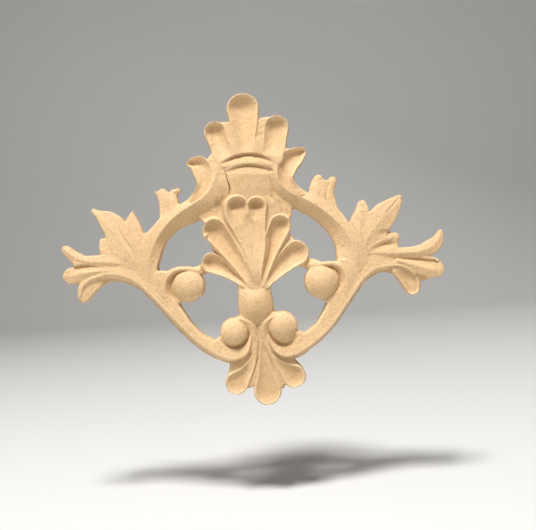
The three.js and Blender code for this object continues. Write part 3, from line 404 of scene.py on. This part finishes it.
# Gouge cuts below the surface: hollows, grooves between leaves, creases and a crack, each
# station of x, z, half-width to the left and to the right, and depth
CUTS = [
    groove("scoop_left", [
        [-3.0, 7.0, 1.4, 1.4, 0.0], [-3.5, 9.8, 2.2, 2.2, 0.05], [-3.75, 11.5, 2.6, 2.6, 0.12],
    ], 2.4, 2.4),
    groove("scoop_right", [
        [0.9, 7.5, 1.3, 1.3, 0.0], [1.15, 9.8, 1.9, 1.9, 0.05], [1.25, 11.3, 2.2, 2.2, 0.12],
    ], 2.4, 2.4),
    groove("collar_upper", [
        [-7.6, 22.6, 0.3, 0.6, 0.0], [-5, 24.0, 0.4, 1.3, 0.09], [-2.5, 24.75, 0.45, 1.7, 0.13],
        [0, 24.95, 0.45, 1.8, 0.14], [2.5, 24.6, 0.45, 1.7, 0.13], [4.5, 23.7, 0.4, 1.3, 0.09],
        [6.6, 22.2, 0.3, 0.6, 0.0],
    ], 1.5, 1.2),
    groove("collar_lower", [
        [-7.0, 20.5, 0.3, 0.6, 0.0], [-4, 21.5, 0.4, 1.6, 0.07], [-2, 22.0, 0.4, 2.0, 0.10],
        [0, 22.15, 0.4, 2.2, 0.11], [3, 21.6, 0.4, 2.0, 0.10], [5.8, 20.6, 0.3, 1.0, 0.04],
    ], 1.5, 1.2),
    groove("foot_valley_left", [
        [-0.1, -22.0, 0.3, 0.3, 0.0], [-0.3, -25.0, 0.5, 0.5, 0.06], [-0.9, -28.4, 0.5, 0.4, 0.06],
        [-1.7, -31.2, 0.4, 0.3, 0.03], [-2.4, -33.6, 0.3, 0.3, 0.0],
    ], 1.2, 1.2),
    groove("foot_valley_right", [
        [0.5, -22.4, 0.3, 0.3, 0.0], [1.0, -25.2, 0.4, 0.4, 0.05], [2.2, -28.6, 0.4, 0.5, 0.06],
        [3.1, -31.0, 0.3, 0.4, 0.03], [3.9, -33.4, 0.3, 0.3, 0.0],
    ], 1.2, 1.2),
    groove("neck_crack", [
        [-7.2, 24.0, 0.1, 0.1, 0.0], [-6.6, 21.4, 0.14, 0.14, 0.05], [-6.2, 20, 0.16, 0.16, 0.08],
        [-5.9, 18.5, 0.16, 0.16, 0.09], [-5.5, 17, 0.2, 0.2, 0.12], [-5.4, 16, 0.2, 0.2, 0.1],
        [-5.9, 14.2, 0.12, 0.12, 0.0],
    ], 1, 1),
    groove("recess_left", [
        [-8.8, 14.6, 0.6, 0.8, 0.0], [-8.5, 12, 1.2, 1.4, 0.07], [-8, 9.6, 0.8, 0.8, 0.03],
    ], 1.5, 1.5),
    groove("crown_side_line", [
        [2.1, 34.8, 0.3, 0.3, 0.0], [1.9, 31, 0.35, 0.3, 0.02], [1.5, 26.5, 0.3, 0.3, 0.01],
    ], 1, 1),
    groove("leaf_left_crease", [
        [-36.6, 9.6, 0.3, 0.3, 0.0], [-34.8, 6.6, 0.5, 0.9, 0.03], [-33.5, 4.2, 0.6, 0.9, 0.05],
        [-31.9, 1.6, 0.5, 0.6, 0.02],
    ], 1.2, 1),
    groove("leaf_right_crease", [
        [34.4, 6.9, 0.4, 0.6, 0.0], [36.6, 9.1, 0.4, 0.7, 0.04], [38.8, 11.3, 0.3, 0.4, 0.04],
    ], 1, 1),
    groove("tooth_right_over", [
        [31.0, 1.8, 0.7, 0.8, 0.0], [34.2, 2.4, 0.9, 1.2, 0.04], [37.4, 2.8, 0.6, 0.8, 0.03],
    ], 1.8, 1.8),
    groove("tooth_right_under", [
        [31.0, -1.8, 0.6, 0.8, 0.0], [34, -0.8, 0.8, 1.2, 0.045], [37.6, -0.4, 0.5, 0.8, 0.03],
    ], 1.8, 1.8),
    groove("wing_left_hollow", [
        [-39.0, -2.5, 0.7, 0.3, 0.0], [-42, -1.9, 1.2, 0.4, 0.06], [-44, -1.6, 1.5, 0.4, 0.09],
        [-46, -1.5, 1.9, 0.4, 0.11], [-47.6, -1.7, 2.2, 0.4, 0.09], [-49.4, -2.2, 1.8, 0.4, 0.0],
    ], 1.3, 1.1),
    groove("wing_right_groove", [
        [36.5, -4.4, 0.3, 0.4, 0.0], [39, -4.6, 0.3, 1.0, 0.06], [41.5, -4.8, 0.35, 1.5, 0.09],
        [44, -5.1, 0.4, 2.1, 0.11], [47, -5.6, 0.5, 2.5, 0.09],
    ], 1.1, 1.3),
    groove("volute_left", [
        [-17.4, -4.5, 0.3, 0.3, 0.0], [-20.0, -4.8, 0.4, 0.9, 0.08], [-21.5, -6.1, 0.4, 1.2, 0.12],
        [-22.3, -8.0, 0.4, 1.4, 0.13], [-22.2, -10.0, 0.4, 1.3, 0.10],
        [-21.4, -12.0, 0.3, 0.6, 0.0],
    ], 1.2, 1.2),
    groove("volute_right", [
        [16.6, -5.5, 0.3, 0.3, 0.0], [19.0, -5.7, 0.9, 0.4, 0.07], [20.9, -6.6, 1.2, 0.4, 0.11],
        [21.8, -8.5, 1.3, 0.4, 0.12], [21.6, -10.6, 1.1, 0.4, 0.08], [20.8, -12.2, 0.5, 0.3, 0.0],
    ], 1.2, 1.2),
    groove("knob_left", [
        [-11.0, -22.6, 0.3, 0.3, 0.0], [-9.3, -24.1, 0.7, 0.6, 0.04], [-7.0, -25.0, 1.1, 0.6, 0.09],
        [-4.8, -24.6, 1.2, 0.6, 0.11], [-3.1, -23.0, 0.9, 0.5, 0.10], [-2.7, -20.8, 0.4, 0.4, 0.0],
    ], 1.2, 1.2),
    groove("knob_right", [
        [2.6, -20.5, 0.3, 0.3, 0.0], [3.0, -22.6, 0.5, 0.7, 0.07], [4.7, -24.4, 0.6, 1.1, 0.10],
        [7.0, -24.9, 0.6, 1.1, 0.09], [9.2, -23.9, 0.6, 0.8, 0.04], [10.8, -22.4, 0.4, 0.4, 0.0],
    ], 1.2, 1.2),
]

# Scrolls beside and below the vase, each wound round a ball
SCROLLS = [
    web("scroll_web_left", [[-24.6, -6.8, 2.9, 0.58], [-20.8, -9.4, 3.4, 0.54]]),
    web("scroll_web_right", [[23.4, -7.6, 3.6, 0.58], [19.4, -12.1, 3.2, 0.54]]),
    web("scroll_link_left", [[-16.4, -5.0, 1.3, 0.50], [-13.6, -4.2, 1.3, 0.40]]),
    web("scroll_link_right", [[16.0, -5.0, 1.5, 0.50], [12.6, -4.0, 1.3, 0.38]]),
    leaf("scroll_left", [
        [-23.9, -12.0, 1.2, 1.2, 0.58], [-24.3, -9.0, 1.4, 1.5, 0.60],
        [-23.4, -6.0, 1.3, 1.5, 0.61], [-20.8, -4.2, 0.9, 1.2, 0.60],
        [-18.0, -3.9, 0.65, 1.1, 0.59], [-15.2, -4.6, 0.7, 1.0, 0.55],
    ], 0.94, 0.90),
    leaf("scroll_right", [
        [22.6, -14.0, 1.2, 1.4, 0.57], [23.8, -10.0, 1.4, 1.4, 0.60], [23.4, -6.8, 1.4, 1.3, 0.61],
        [20.9, -5.0, 1.1, 0.8, 0.60], [18.0, -4.8, 0.9, 0.65, 0.59], [15.2, -5.0, 1.0, 0.9, 0.55],
    ], 0.90, 0.94),
    ball("ball_left", -17.8, -8.4, 4.25, 0.80),
    ball("ball_right", 17.1, -9.25, 4.5, 0.80),
    web("knob_web", [[-0.4, -18.2, 4.5, 0.54], [-0.2, -24.6, 2.6, 0.50]]),
    ball("knob_left", -6.5, -21.15, 3.75, 0.80),
    ball("knob_right", 6.2, -20.4, 3.95, 0.80),
    web("knob_web_left", [[-9.8, -24.8, 2.6, 0.55], [-3.6, -22.5, 4.0, 0.52]]),
    web("knob_web_right", [[9.8, -24.5, 2.7, 0.55], [3.6, -22.5, 4.0, 0.52]]),
]

# Three hanging petals at the foot, with a crumb of flash in one notch
FOOT = [
    web("foot_ground", [
        [-0.2, -22.0, 1.6, 0.52], [0.5, -27.0, 3.6, 0.51], [0.6, -30.0, 5.4, 0.42],
    ]),
    web("foot_web_left", [[-6.4, -30.4, 1.9, 0.42], [-7.0, -33.1, 2.2, 0.40]]),
    web("foot_web_right", [[7.4, -30.5, 1.9, 0.42], [8.3, -32.4, 2.4, 0.40]]),
    web("foot_web_low_left", [[-2.8, -29.0, 2.6, 0.45], [-3.5, -33.5, 2.5, 0.41]]),
    web("foot_web_low_right", [[3.6, -29.0, 2.8, 0.45], [4.8, -33.7, 2.3, 0.41]]),
    web("foot_crumb", [[5.3, -36.2, 0.6, 0.28]]),
    band("foot_left", "petal", FOOT_FORM, [
        [-1.7, -28.2, 0.7, 0.7, 0.48], [-3.3, -30.8, 1.35, 1.35, 0.48],
        [-4.9, -32.7, 2.05, 2.05, 0.47], [-6.7, -34.55, 3.05, 3.05, 0.46],
    ]),
    band("foot_right", "petal", FOOT_FORM, [
        [3.4, -28.2, 0.7, 0.7, 0.48], [5.1, -30.5, 1.3, 1.3, 0.48], [6.8, -32.2, 2.1, 2.1, 0.47],
        [8.5, -33.7, 3.05, 3.05, 0.46],
    ]),
    band("foot_centre", "petal", FOOT_FORM, [
        [0.4, -24.0, 0.5, 0.5, 0.53], [0.8, -28.3, 1.3, 1.3, 0.50], [1.0, -31.3, 1.75, 1.75, 0.48],
        [1.15, -34.4, 2.6, 2.6, 0.47], [1.25, -37.2, 3.65, 3.65, 0.47],
    ]),
]

# Crumbs of pulp and a bubble, left as they came out of the mould, finer than the solid shows
CRUMBS = [
    ball("bubble", -12.5, 4.4, 0.75, 0.68),
    web("leaf_whisker", [[-20.2, 16.5, 0.3, 0.34], [-19.3, 17.2, 0.22, 0.30]]),
    web("leaf_whisker_low", [[-19.9, 16.6, 0.25, 0.32], [-18.9, 16.7, 0.2, 0.28]]),
    web("leaf_tip_nick", [[-31.9, 11.2, 0.3, 0.34], [-31.5, 11.9, 0.22, 0.30]]),
    web("arm_flash", [[13.4, -4.6, 0.4, 0.30], [14.9, -3.9, 0.3, 0.30], [15.6, -3.4, 0.2, 0.28]]),
    web("wing_flash", [[44.6, -9.7, 0.5, 0.24], [45.3, -10.4, 0.25, 0.22]]),
]

# Patches of painted shade in hollows and grooves, with a clotted bump: x, z, radius and how dark
SHADE_PATCHES = [
    (-8.7, 11.6, 1.9, 0.9), (-7.2, 14.2, 1.3, 0.5), (7.2, 18.4, 2.2, 0.45), (8.0, 15.0, 2.4, 0.6),
    (6.6, 12.2, 2.0, 0.7), (10.4, 12.0, 2.4, 0.55), (-2.6, 17.2, 3.4, 0.22), (0.0, 20.6, 4.0, 0.22),
    (-3.4, 11.8, 2.0, 0.45), (1.6, 11.9, 1.9, 0.45), (-10.3, 7.4, 2.2, 0.35), (7.6, 7.2, 2.0, 0.35),
    (-7.4, 33.0, 2.4, 0.35), (7.6, 33.2, 2.6, 0.25), (-0.4, 38.2, 3.0, 0.22),
    (-0.2, -7.6, 3.0, 0.45), (-0.4, -18.6, 2.4, 0.4), (0.2, -25.0, 2.2, 0.6),
    (-5.4, -24.8, 3.0, 0.4), (5.2, -24.6, 3.0, 0.4), (-21.6, -8.2, 2.4, 0.5),
    (20.9, -8.6, 2.2, 0.4), (-32.4, -2.0, 4.0, 0.25), (30.0, -1.0, 4.0, 0.22),
    (-6.2, -33.4, 2.6, 0.3), (8.2, -32.8, 2.6, 0.35), (0.9, -35.0, 2.6, 0.22),
    (-22.6, 14.0, 2.0, 0.3),
]

STROKES = FRAME + LEAVES + CROWN + SCROLLS + FAN + FOOT + CRUMBS


def curve_through(stations):
    """Points on the curve through the stations: between two of them each value is the cubic that
    leaves and meets them along half the step between their neighbours."""
    known = np.array(stations, float)
    if len(known) == 1:
        return known
    known = np.vstack([2 * known[0] - known[1], known, 2 * known[-1] - known[-2]])
    before, start, end, after = known[:-3], known[1:-2], known[2:-1], known[3:]
    t = (np.arange(SPAN_SAMPLES) / SPAN_SAMPLES)[None, :, None]
    leave, meet = (end - before)[:, None] / 2, (after - start)[:, None] / 2
    points = (
        (2 * t**3 - 3 * t**2 + 1) * start[:, None]
        + (t**3 - 2 * t**2 + t) * leave
        + (3 * t**2 - 2 * t**3) * end[:, None]
        + (t**3 - t**2) * meet
    )
    return np.vstack([points.reshape(-1, known.shape[1]), known[-2]])


def along_stroke(stroke, x, z):
    """For each point: how far out it lies as a share of the half-width there, how far along the
    stroke, whether it is on the left, and the stroke's values there.

    It belongs to the point of the centre line with the least distance over half-width: the
    nearest sample, moved to the bottom of the parabola through it and its two neighbours."""
    line = curve_through(stroke["stations"])
    if len(line) == 1:
        out = np.hypot(x - line[0, 0], z - line[0, 1]) / line[0, 2]
        return out, np.ones_like(x), x < line[0, 0], np.repeat(line, len(x), 0)
    slope = np.gradient(line, axis=0)
    dx, dz = x[:, None] - line[:, 0], z[:, None] - line[:, 1]
    left = slope[:, 0] * dz - slope[:, 1] * dx > 0
    far = (dx**2 + dz**2) / np.where(left, line[:, 2], line[:, 3]) ** 2
    near = far.argmin(1)
    each = np.arange(len(x))
    last = len(line) - 1
    middle = np.clip(near, 1, last - 1)
    before, after = far[each, middle - 1], far[each, middle + 1]
    bend = np.maximum(before + after - 2 * far[each, middle], STRAIGHT)
    lowest = np.clip(middle + (before - after) / 2 / bend, 0, last)
    moved = np.clip(lowest - near, -0.5, 0.5)
    here = line[near] + moved[:, None] * slope[near]
    left = left[each, near]
    out = np.hypot(x - here[:, 0], z - here[:, 1]) / np.where(left, here[:, 2], here[:, 3])
    return out, (near + moved) / last, left, here


def section(stroke, out, along, left, here):
    """Height across a stroke as a share of its middle's: a straight fall from a soft midrib, a
    dome (1 - out^2)^power on an edge, a nearly flat web, or a spoon that deepens towards the tip
    inside a rim."""
    kind, form = stroke["kind"], stroke["form"]
    out = np.minimum(out, 1)
    if kind == "ridge":
        edge = np.where(left, here[:, 5], here[:, 6])
        soft = CREST_SOFTNESS
        fall = (np.sqrt(out**2 + soft**2) - soft) / (math.sqrt(1 + soft**2) - soft)
        return 1 - (1 - edge) * fall
    if kind == "round":
        edge = form.get("edge") or np.where(left, here[:, 5], here[:, 6])
        return edge + (1 - edge) * (1 - out**2) ** DOME_POWER
    if kind == "web":
        return 1 - (1 - WEB_EDGE) * out
    past_rim = np.clip((out - PETAL_RIM) / (1 - PETAL_RIM), 0, 1)
    outside = 1 - (1 - form["edge"]) * past_rim ** PETAL_FALL
    return np.where(out < PETAL_RIM, spoon_shape(form["hollow"], out, along), outside)


def spoon_shape(hollow, out, along):
    """A hollow as a share of the petal's height: 1 - depth (1 - (out / rim)^wall), whose depth
    grows from the root to the tip as t (2 - t); it leaves what lies past the rim as it is."""
    depth = hollow * along * (2 - along)
    within = 1 - depth * (1 - np.minimum(out / PETAL_RIM, 1) ** SPOON_WALL)
    return within + np.maximum(out - PETAL_RIM, 0) * SPOON_LIP


def soft_larger(first, second, blend):
    """The larger of two heights, with the crease where they meet filled over that height."""
    share = np.clip(0.5 + 0.5 * (second - first) / blend, 0, 1)
    return first + (second - first) * share + blend * share * (1 - share)


def window(stroke, xs, zs):
    """The part of the grid that a stroke reaches."""
    places = np.array(stroke["stations"])
    reach = places[:, 2:4].max() + MARGIN
    low, high = places[:, :2].min(0) - reach, places[:, :2].max(0) + reach
    i = np.searchsorted(xs, [low[0], high[0]])
    j = np.searchsorted(zs, [low[1], high[1]])
    return np.s_[j[0]:j[1], i[0]:i[1]]


def raise_strokes(strokes, xs, zs):
    """Two fields on the grid: the depth inside the outline, half-width times (1 - out), and the
    height of the carved surface, each the soft larger of all strokes, where each petal is
    hollowed out of all that came before it."""
    x, z = np.meshgrid(xs, zs)
    inside = np.full(x.shape, FAR_BELOW)
    rise = np.full(x.shape, FAR_BELOW)
    for stroke in strokes:
        part = window(stroke, xs, zs)
        shape = x[part].shape
        out, along, left, here = along_stroke(stroke, x[part].ravel(), z[part].ravel())
        if stroke["kind"] != "spoon":
            half = np.where(left, here[:, 2], here[:, 3])
            own = here[:, 4] * section(stroke, out, along, left, here) * THICKNESS
            own = own - np.maximum(out - 1, 0) * half * SIDE_SLOPE
            deep = (half * (1 - out)).reshape(shape)
            inside[part] = soft_larger(inside[part], deep, OUTLINE_BLEND)
            rise[part] = soft_larger(rise[part], own.reshape(shape), SURFACE_BLEND)
        if stroke["kind"] in ("petal", "spoon"):
            spoon = here[:, 4] * spoon_shape(stroke["form"]["hollow"], out, along) * THICKNESS
            spoon = spoon.reshape(shape)
            over_petal = stroke["kind"] == "petal"
            softly = -soft_larger(-rise[part], -spoon, SURFACE_BLEND)
            rise[part] = np.minimum(rise[part], spoon) if over_petal else softly
    return inside, rise


def cut_strokes(cuts, xs, zs):
    """How deep the gouge goes at each point: depth (1 - out^power), the deepest of all cuts."""
    x, z = np.meshgrid(xs, zs)
    depth = np.zeros(x.shape)
    for stroke in cuts:
        part = window(stroke, xs, zs)
        out, along, left, here = along_stroke(stroke, x[part].ravel(), z[part].ravel())
        power = np.where(left, stroke["form"]["left"], stroke["form"]["right"])
        own = here[:, 4] * THICKNESS * (1 - np.minimum(out, 1) ** power)
        depth[part] = np.maximum(depth[part], own.reshape(x[part].shape))
    return depth


def unevenness(x, z, seed, finest, coarsest, waves):
    """A wandering value about -1 to 1: sines that run every way across the grid, with wave lengths
    from finest to coarsest, summed and divided by the root of their number."""
    chance = np.random.default_rng(seed)
    total = np.zeros(x.shape)
    for _ in range(waves):
        turn, phase = chance.uniform(0, 2 * math.pi, 2)
        number = 2 * math.pi / chance.uniform(finest, coarsest)
        total += np.sin((x * math.cos(turn) + z * math.sin(turn)) * number + phase)
    return total * WAVE_HEIGHT / waves**0.5


def smoothed(values, times):
    """The mean of each value and its eight neighbours, taken that many times."""
    for _ in range(times):
        wide = np.pad(values, 1, mode="edge")
        wide = wide[:-2] + wide[1:-1] + wide[2:]
        values = (wide[:, :-2] + wide[:, 1:-1] + wide[:, 2:]) / 9
    return values


def carved_fields(xs, zs):
    """Depth inside the outline, height of the surface, depth of the hollows and the patches of
    painted shade, on the grid; the surface rounds over at the outline as a quarter circle, a hollow
    is what lies below the smoothed surface, and painted shade falls off as exp(-(distance /
    radius)^2) round each patch."""
    x, z = np.meshgrid(xs, zs)
    inside, rise = raise_strokes(STROKES, xs, zs)
    rise = rise - cut_strokes(CUTS, xs, zs)
    inside = inside + OUTLINE_WANDER * unevenness(x, z, **OUTLINE_WAVES)
    rise = rise + SURFACE_WANDER * unevenness(x, z, **SURFACE_WAVES)
    round_over = np.clip(inside / EDGE_ROUND, 0, 1)
    lift = np.sqrt(1 - (1 - round_over) ** 2)
    least = LEAST_RISE * THICKNESS
    rise = np.maximum(rise, least * LOWEST_TOP)
    rise = least + (rise - least) * (EDGE_SHARE + (1 - EDGE_SHARE) * lift)
    # how far the surface lies below its smoothed self: it carries the painted shade in the hollows
    # and, below zero, the painted highlight on crests
    hollow = smoothed(rise, HOLLOW_SMOOTHINGS) - rise
    shade_patches = np.zeros_like(rise)
    for at_x, at_z, radius, dark in SHADE_PATCHES:
        apart = ((x - at_x) ** 2 + (z - at_z) ** 2) / radius**2
        shade_patches = np.maximum(shade_patches, dark * np.exp(-apart))
    return inside, rise, hollow, shade_patches


def cut_out(inside):
    """The triangles of the grid cut off along the outline: corners as grid numbers, or past them
    the numbers of the points where an edge crosses the outline, those edges, and the directed
    edges of the outline with the piece on their left."""
    number = np.arange(inside.size).reshape(inside.shape)
    a, b, c, d = number[:-1, :-1], number[:-1, 1:], number[1:, 1:], number[1:, :-1]
    both = [np.stack(corners, -1).reshape(-1, 3) for corners in ((a, b, c), (a, c, d))]
    triangles = np.concatenate(both)
    within = inside.ravel()[triangles] > 0
    count = within.sum(1)
    whole = triangles[count == 3]
    # triangles with one corner within and those with two, turned so that the odd one comes first
    turned = {}
    for wanted in (1, 2):
        some, flags = triangles[count == wanted], within[count == wanted]
        lone = (flags if wanted == 1 else ~flags).argmax(1)
        turned[wanted] = np.take_along_axis(some, (lone[:, None] + [0, 1, 2]) % 3, 1)
    tips, stumps = turned[1], turned[2]
    crossed = np.concatenate([
        tips[:, [0, 1]], tips[:, [0, 2]], stumps[:, [1, 0]], stumps[:, [2, 0]],
    ])
    edges, which = np.unique(crossed, axis=0, return_inverse=True)
    which = which.ravel() + inside.size
    tip_1, tip_2, stump_1, stump_2 = np.split(which, np.cumsum([len(tips)] * 2 + [len(stumps)]))
    faces = np.concatenate([
        whole,
        np.stack([tips[:, 0], tip_1, tip_2], 1),
        np.stack([stump_1, stumps[:, 1], stumps[:, 2]], 1),
        np.stack([stump_1, stumps[:, 2], stump_2], 1),
    ])
    outline = np.concatenate([np.stack([tip_1, tip_2], 1), np.stack([stump_2, stump_1], 1)])
    return faces, edges, outline


def carved_mesh(name):
    """The finished piece: the carved front, a wall round each outline and a flat back."""
    xs = np.arange(*CARVED_X, SPACING)
    zs = np.arange(*CARVED_Z, SPACING)
    inside, rise, hollow, shade_patches = carved_fields(xs, zs)
    faces, edges, outline = cut_out(inside)
    x, z = (part.ravel() for part in np.meshgrid(xs, zs))
    depth = inside.ravel()
    share = depth[edges[:, 0]] / (depth[edges[:, 0]] - depth[edges[:, 1]])
    share = np.clip(share, LEAST_CROSSING, 1 - LEAST_CROSSING)

    def with_crossings(values):
        first, second = values[edges[:, 0]], values[edges[:, 1]]
        return np.concatenate([values, first + (second - first) * share])

    x, z, rise, hollow, shade_patches = (
        with_crossings(part.ravel()) for part in (x, z, rise, hollow, shade_patches)
    )
    # only the points in use, numbered anew
    used, faces = np.unique(faces, return_inverse=True)
    faces = faces.reshape(-1, 3)
    rim = np.searchsorted(used, outline)
    points = np.stack([x, -rise, z], 1)[used]
    # a wall from each outline to the same outline on the back
    front = len(points)
    loop, rim = np.unique(rim, return_inverse=True)
    rim = rim.reshape(-1, 2)
    back_points = points[loop] * [1, 0, 1]
    start, end = loop[rim[:, 0]], loop[rim[:, 1]]
    walls = np.stack([start, front + rim[:, 0], front + rim[:, 1], end], 1)
    points = fitted(np.concatenate([points, back_points]))

    mesh = bpy.data.meshes.new(name)
    mesh.from_pydata(points, [], faces.tolist() + walls.tolist())
    close_back(mesh)
    # the hollows, which the finish paints with shade and highlight, and the patches of painted
    # shade
    for attribute, values in (("hollow", hollow), ("shade_patches", shade_patches)):
        values = np.concatenate([values[used], np.zeros(len(loop))])
        mesh.attributes.new(attribute, "FLOAT", "POINT").data.foreach_set("value", values)
    mesh.shade_smooth()
    mesh.set_sharp_from_angle(angle=math.radians(SHARP_ANGLE))
    mesh.validate()
    return mesh


def fitted(points):
    """The points moved and scaled along each axis to fill the frame's box, less the inset."""
    low, high = points.min(0), points.max(0)
    new_low, new_high = np.array(cad_low) + INSET, np.array(cad_high) - INSET
    new_high[1] = 0  # the flat back
    return new_low + (points - low) / (high - low) * (new_high - new_low)


def close_back(mesh):
    """Fills the flat back between its outlines with triangles that face away from the front."""
    work = bmesh.new()
    work.from_mesh(mesh)
    rims = [edge for edge in work.edges if len(edge.link_faces) == 1]
    made = bmesh.ops.triangle_fill(work, use_beauty=True, edges=rims)
    back = [face for face in made["geom"] if isinstance(face, bmesh.types.BMFace)]
    for face in back:
        face.normal_update()
    turned = [face for face in back if face.normal.y < 0]
    bmesh.ops.reverse_faces(work, faces=turned)
    work.to_mesh(mesh)
    work.free()


def node_set(tree, kind, **values):
    """A node of that kind with its settings and its inputs' plain values."""
    node = tree.nodes.new(kind)
    for key, value in values.items():
        if hasattr(node, key):
            setattr(node, key, value)
        else:
            node.inputs[key.replace("_", " ")].default_value = value
    return node


def pulp_wood():
    """Moulded wood pulp: pale tan, with painted shade, darker and warmer, in the hollows, a painted
    highlight, lighter, on rims and crests, patches of painted shade that also roughen the bump,
    a fine speckle, and grains and pinholes in its bump."""
    material = bpy.data.materials.new("pulp_wood")
    material.use_nodes = True
    tree = material.node_tree
    shader = tree.nodes["Principled BSDF"]
    link = tree.links.new
    place = tree.nodes.new("ShaderNodeTexCoord").outputs["Object"]

    def noise(scale, detail, roughness):
        node = node_set(tree, "ShaderNodeTexNoise", Scale=scale, Detail=detail, Roughness=roughness)
        link(place, node.inputs["Vector"])
        return node.outputs["Fac"]

    def ranged(value, ends):
        node = node_set(tree, "ShaderNodeMapRange", clamp=True)
        for socket, number in zip(list(node.inputs)[1:5], ends):
            socket.default_value = number
        link(value, node.inputs[0])
        return node.outputs[0]

    def mixed(share, first, second):
        node = node_set(tree, "ShaderNodeMix", data_type="RGBA")
        for socket, value in ((MIX_SHARE, share), (MIX_FIRST, first), (MIX_SECOND, second)):
            if isinstance(value, (tuple, float)):
                node.inputs[socket].default_value = value
            else:
                link(value, node.inputs[socket])
        return node.outputs[MIX_RESULT]

    def joined(first, second, how):
        node = node_set(tree, "ShaderNodeMath", operation=how)
        for socket, value in zip(node.inputs, (first, second)):
            if isinstance(value, float):
                socket.default_value = value
            else:
                link(value, socket)
        return node.outputs[0]

    hollow = node_set(tree, "ShaderNodeAttribute", attribute_name="hollow").outputs["Fac"]
    shade_patches = node_set(tree, "ShaderNodeAttribute", attribute_name="shade_patches").outputs["Fac"]
    speckle = noise(**SPECKLE)
    clots = noise(**CLOTS)
    base = mixed(ranged(noise(**PATCHES), PATCH_RANGE), PULP_DARK, PULP_LIGHT)
    # painted shade in the hollows
    base = mixed(ranged(hollow, PAINTED_SHADE_RANGE), base, PULP_PAINTED_SHADE)
    # painted highlight on rims and crests
    base = mixed(ranged(hollow, PAINTED_HIGHLIGHT_RANGE), base, PULP_PAINTED_HIGHLIGHT)
    # darker patches of painted shade, clotted by noise
    base = mixed(joined(shade_patches, ranged(clots, CLOT_RANGE), "MULTIPLY"), base, PULP_PATCH_SHADE)
    base = mixed(ranged(speckle, SPECK_RANGE), base, PULP_SPECK)
    link(base, shader.inputs["Base Color"])
    link(ranged(speckle, GLOSS_RANGE), shader.inputs["Roughness"])
    shader.inputs["Specular IOR Level"].default_value = SHEEN

    swell = joined(noise(**SWELL), SWELL_SHARE, "MULTIPLY")
    grain = joined(noise(**GRAIN), swell, "ADD")
    # the patches of painted shade also get a clotted bump
    grain = joined(grain, joined(shade_patches, clots, "MULTIPLY"), "ADD")
    bump = node_set(tree, "ShaderNodeBump", Strength=1.0, Distance=GRAIN_HEIGHT)
    link(grain, bump.inputs["Height"])
    link(bump.outputs["Normal"], shader.inputs["Normal"])
    return material


def matt(name, colour, roughness):
    """A plain matt finish."""
    material = bpy.data.materials.new(name)
    material.use_nodes = True
    tree = material.node_tree
    shader = tree.nodes["Principled BSDF"]
    shader.inputs["Base Color"].default_value = colour
    shader.inputs["Roughness"].default_value = roughness
    return material


def photo_camera():
    """The camera of the photograph: square to the front, with the piece leaning to its left."""
    data = bpy.data.cameras.new("camera")
    data.lens, data.sensor_width = LENS, SENSOR
    camera = bpy.data.objects.new("camera", data)
    bpy.context.scene.collection.objects.link(camera)
    lean = math.radians(LEAN)
    right = Vector((math.cos(lean), 0, -math.sin(lean)))
    up = Vector((math.sin(lean), 0, math.cos(lean)))
    back = Vector((0, -1, 0))
    distance = IMAGE_WIDTH * LENS / SENSOR / PIXELS_A_UNIT * UNIT
    pixel = UNIT / PIXELS_A_UNIT
    across = (IMAGE_WIDTH / 2 - ORIGIN_PIXEL[0]) * pixel
    down = (IMAGE_HEIGHT / 2 - ORIGIN_PIXEL[1]) * pixel
    middle = right * across - up * down
    place = middle + back * (distance + OUTLINE_DEPTH)
    turn = Matrix((right, up, back)).transposed().to_4x4()
    camera.matrix_world = Matrix.Translation(place) @ turn
    bpy.context.scene.camera = camera


def area_light(name, place, size, power):
    """A square soft light at a place, turned to the piece at the origin."""
    data = bpy.data.lights.new(name, "AREA")
    data.shape, data.size, data.energy = "SQUARE", size, power
    light = bpy.data.objects.new(name, data)
    bpy.context.scene.collection.objects.link(light)
    light.location = place
    light.rotation_euler = (-Vector(place)).to_track_quat("-Z", "Y").to_euler()


def pale_floor():
    """The floor, swept up behind in a quarter circle to a far wall: one profile of y and z
    carried straight along x."""
    turn = np.linspace(0, math.pi / 2, BEND_POINTS)
    bend_y = WALL_Y - BEND + BEND * np.sin(turn)
    bend_z = FLOOR_Z + BEND - BEND * np.cos(turn)
    y = np.concatenate([[-FLOOR_FRONT], bend_y, [WALL_Y]])
    z = np.concatenate([[FLOOR_Z], bend_z, [FLOOR_Z + WALL_HEIGHT]])
    x = np.array([-FLOOR_HALF, FLOOR_HALF])
    points = np.stack([np.tile(x, len(y)), np.repeat(y, 2), np.repeat(z, 2)], 1)
    row = np.arange(len(y) - 1) * 2
    faces = np.stack([row, row + 1, row + 3, row + 2], 1)
    mesh = bpy.data.meshes.new("floor")
    mesh.from_pydata(points, [], faces.tolist())
    mesh.shade_smooth()
    mesh.materials.append(matt("pale_floor", FLOOR_COLOUR, FLOOR_ROUGHNESS))
    floor = bpy.data.objects.new("floor", mesh)
    bpy.context.scene.collection.objects.link(floor)


# The piece
mesh = carved_mesh("carved_applique")
mesh.materials.append(pulp_wood())
applique = bpy.data.objects.new("carved_applique", mesh)
bpy.context.scene.collection.objects.link(applique)
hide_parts("applique")
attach(applique, "root")

# The stage
photo_camera()
pale_floor()
area_light("key", KEY_PLACE, KEY_SIZE, KEY_POWER)
area_light("fill", FILL_PLACE, FILL_SIZE, FILL_POWER)
area_light("behind", BEHIND_PLACE, BEHIND_SIZE, BEHIND_POWER)
bpy.context.scene.view_settings.view_transform = "Standard"
world = bpy.data.worlds.new("studio")
bpy.context.scene.world = world
world.use_nodes = True
sky = world.node_tree.nodes["Background"]
sky.inputs["Color"].default_value = WHITE
sky.inputs["Strength"].default_value = WORLD_LIGHT

bpy.context.view_layer.update()
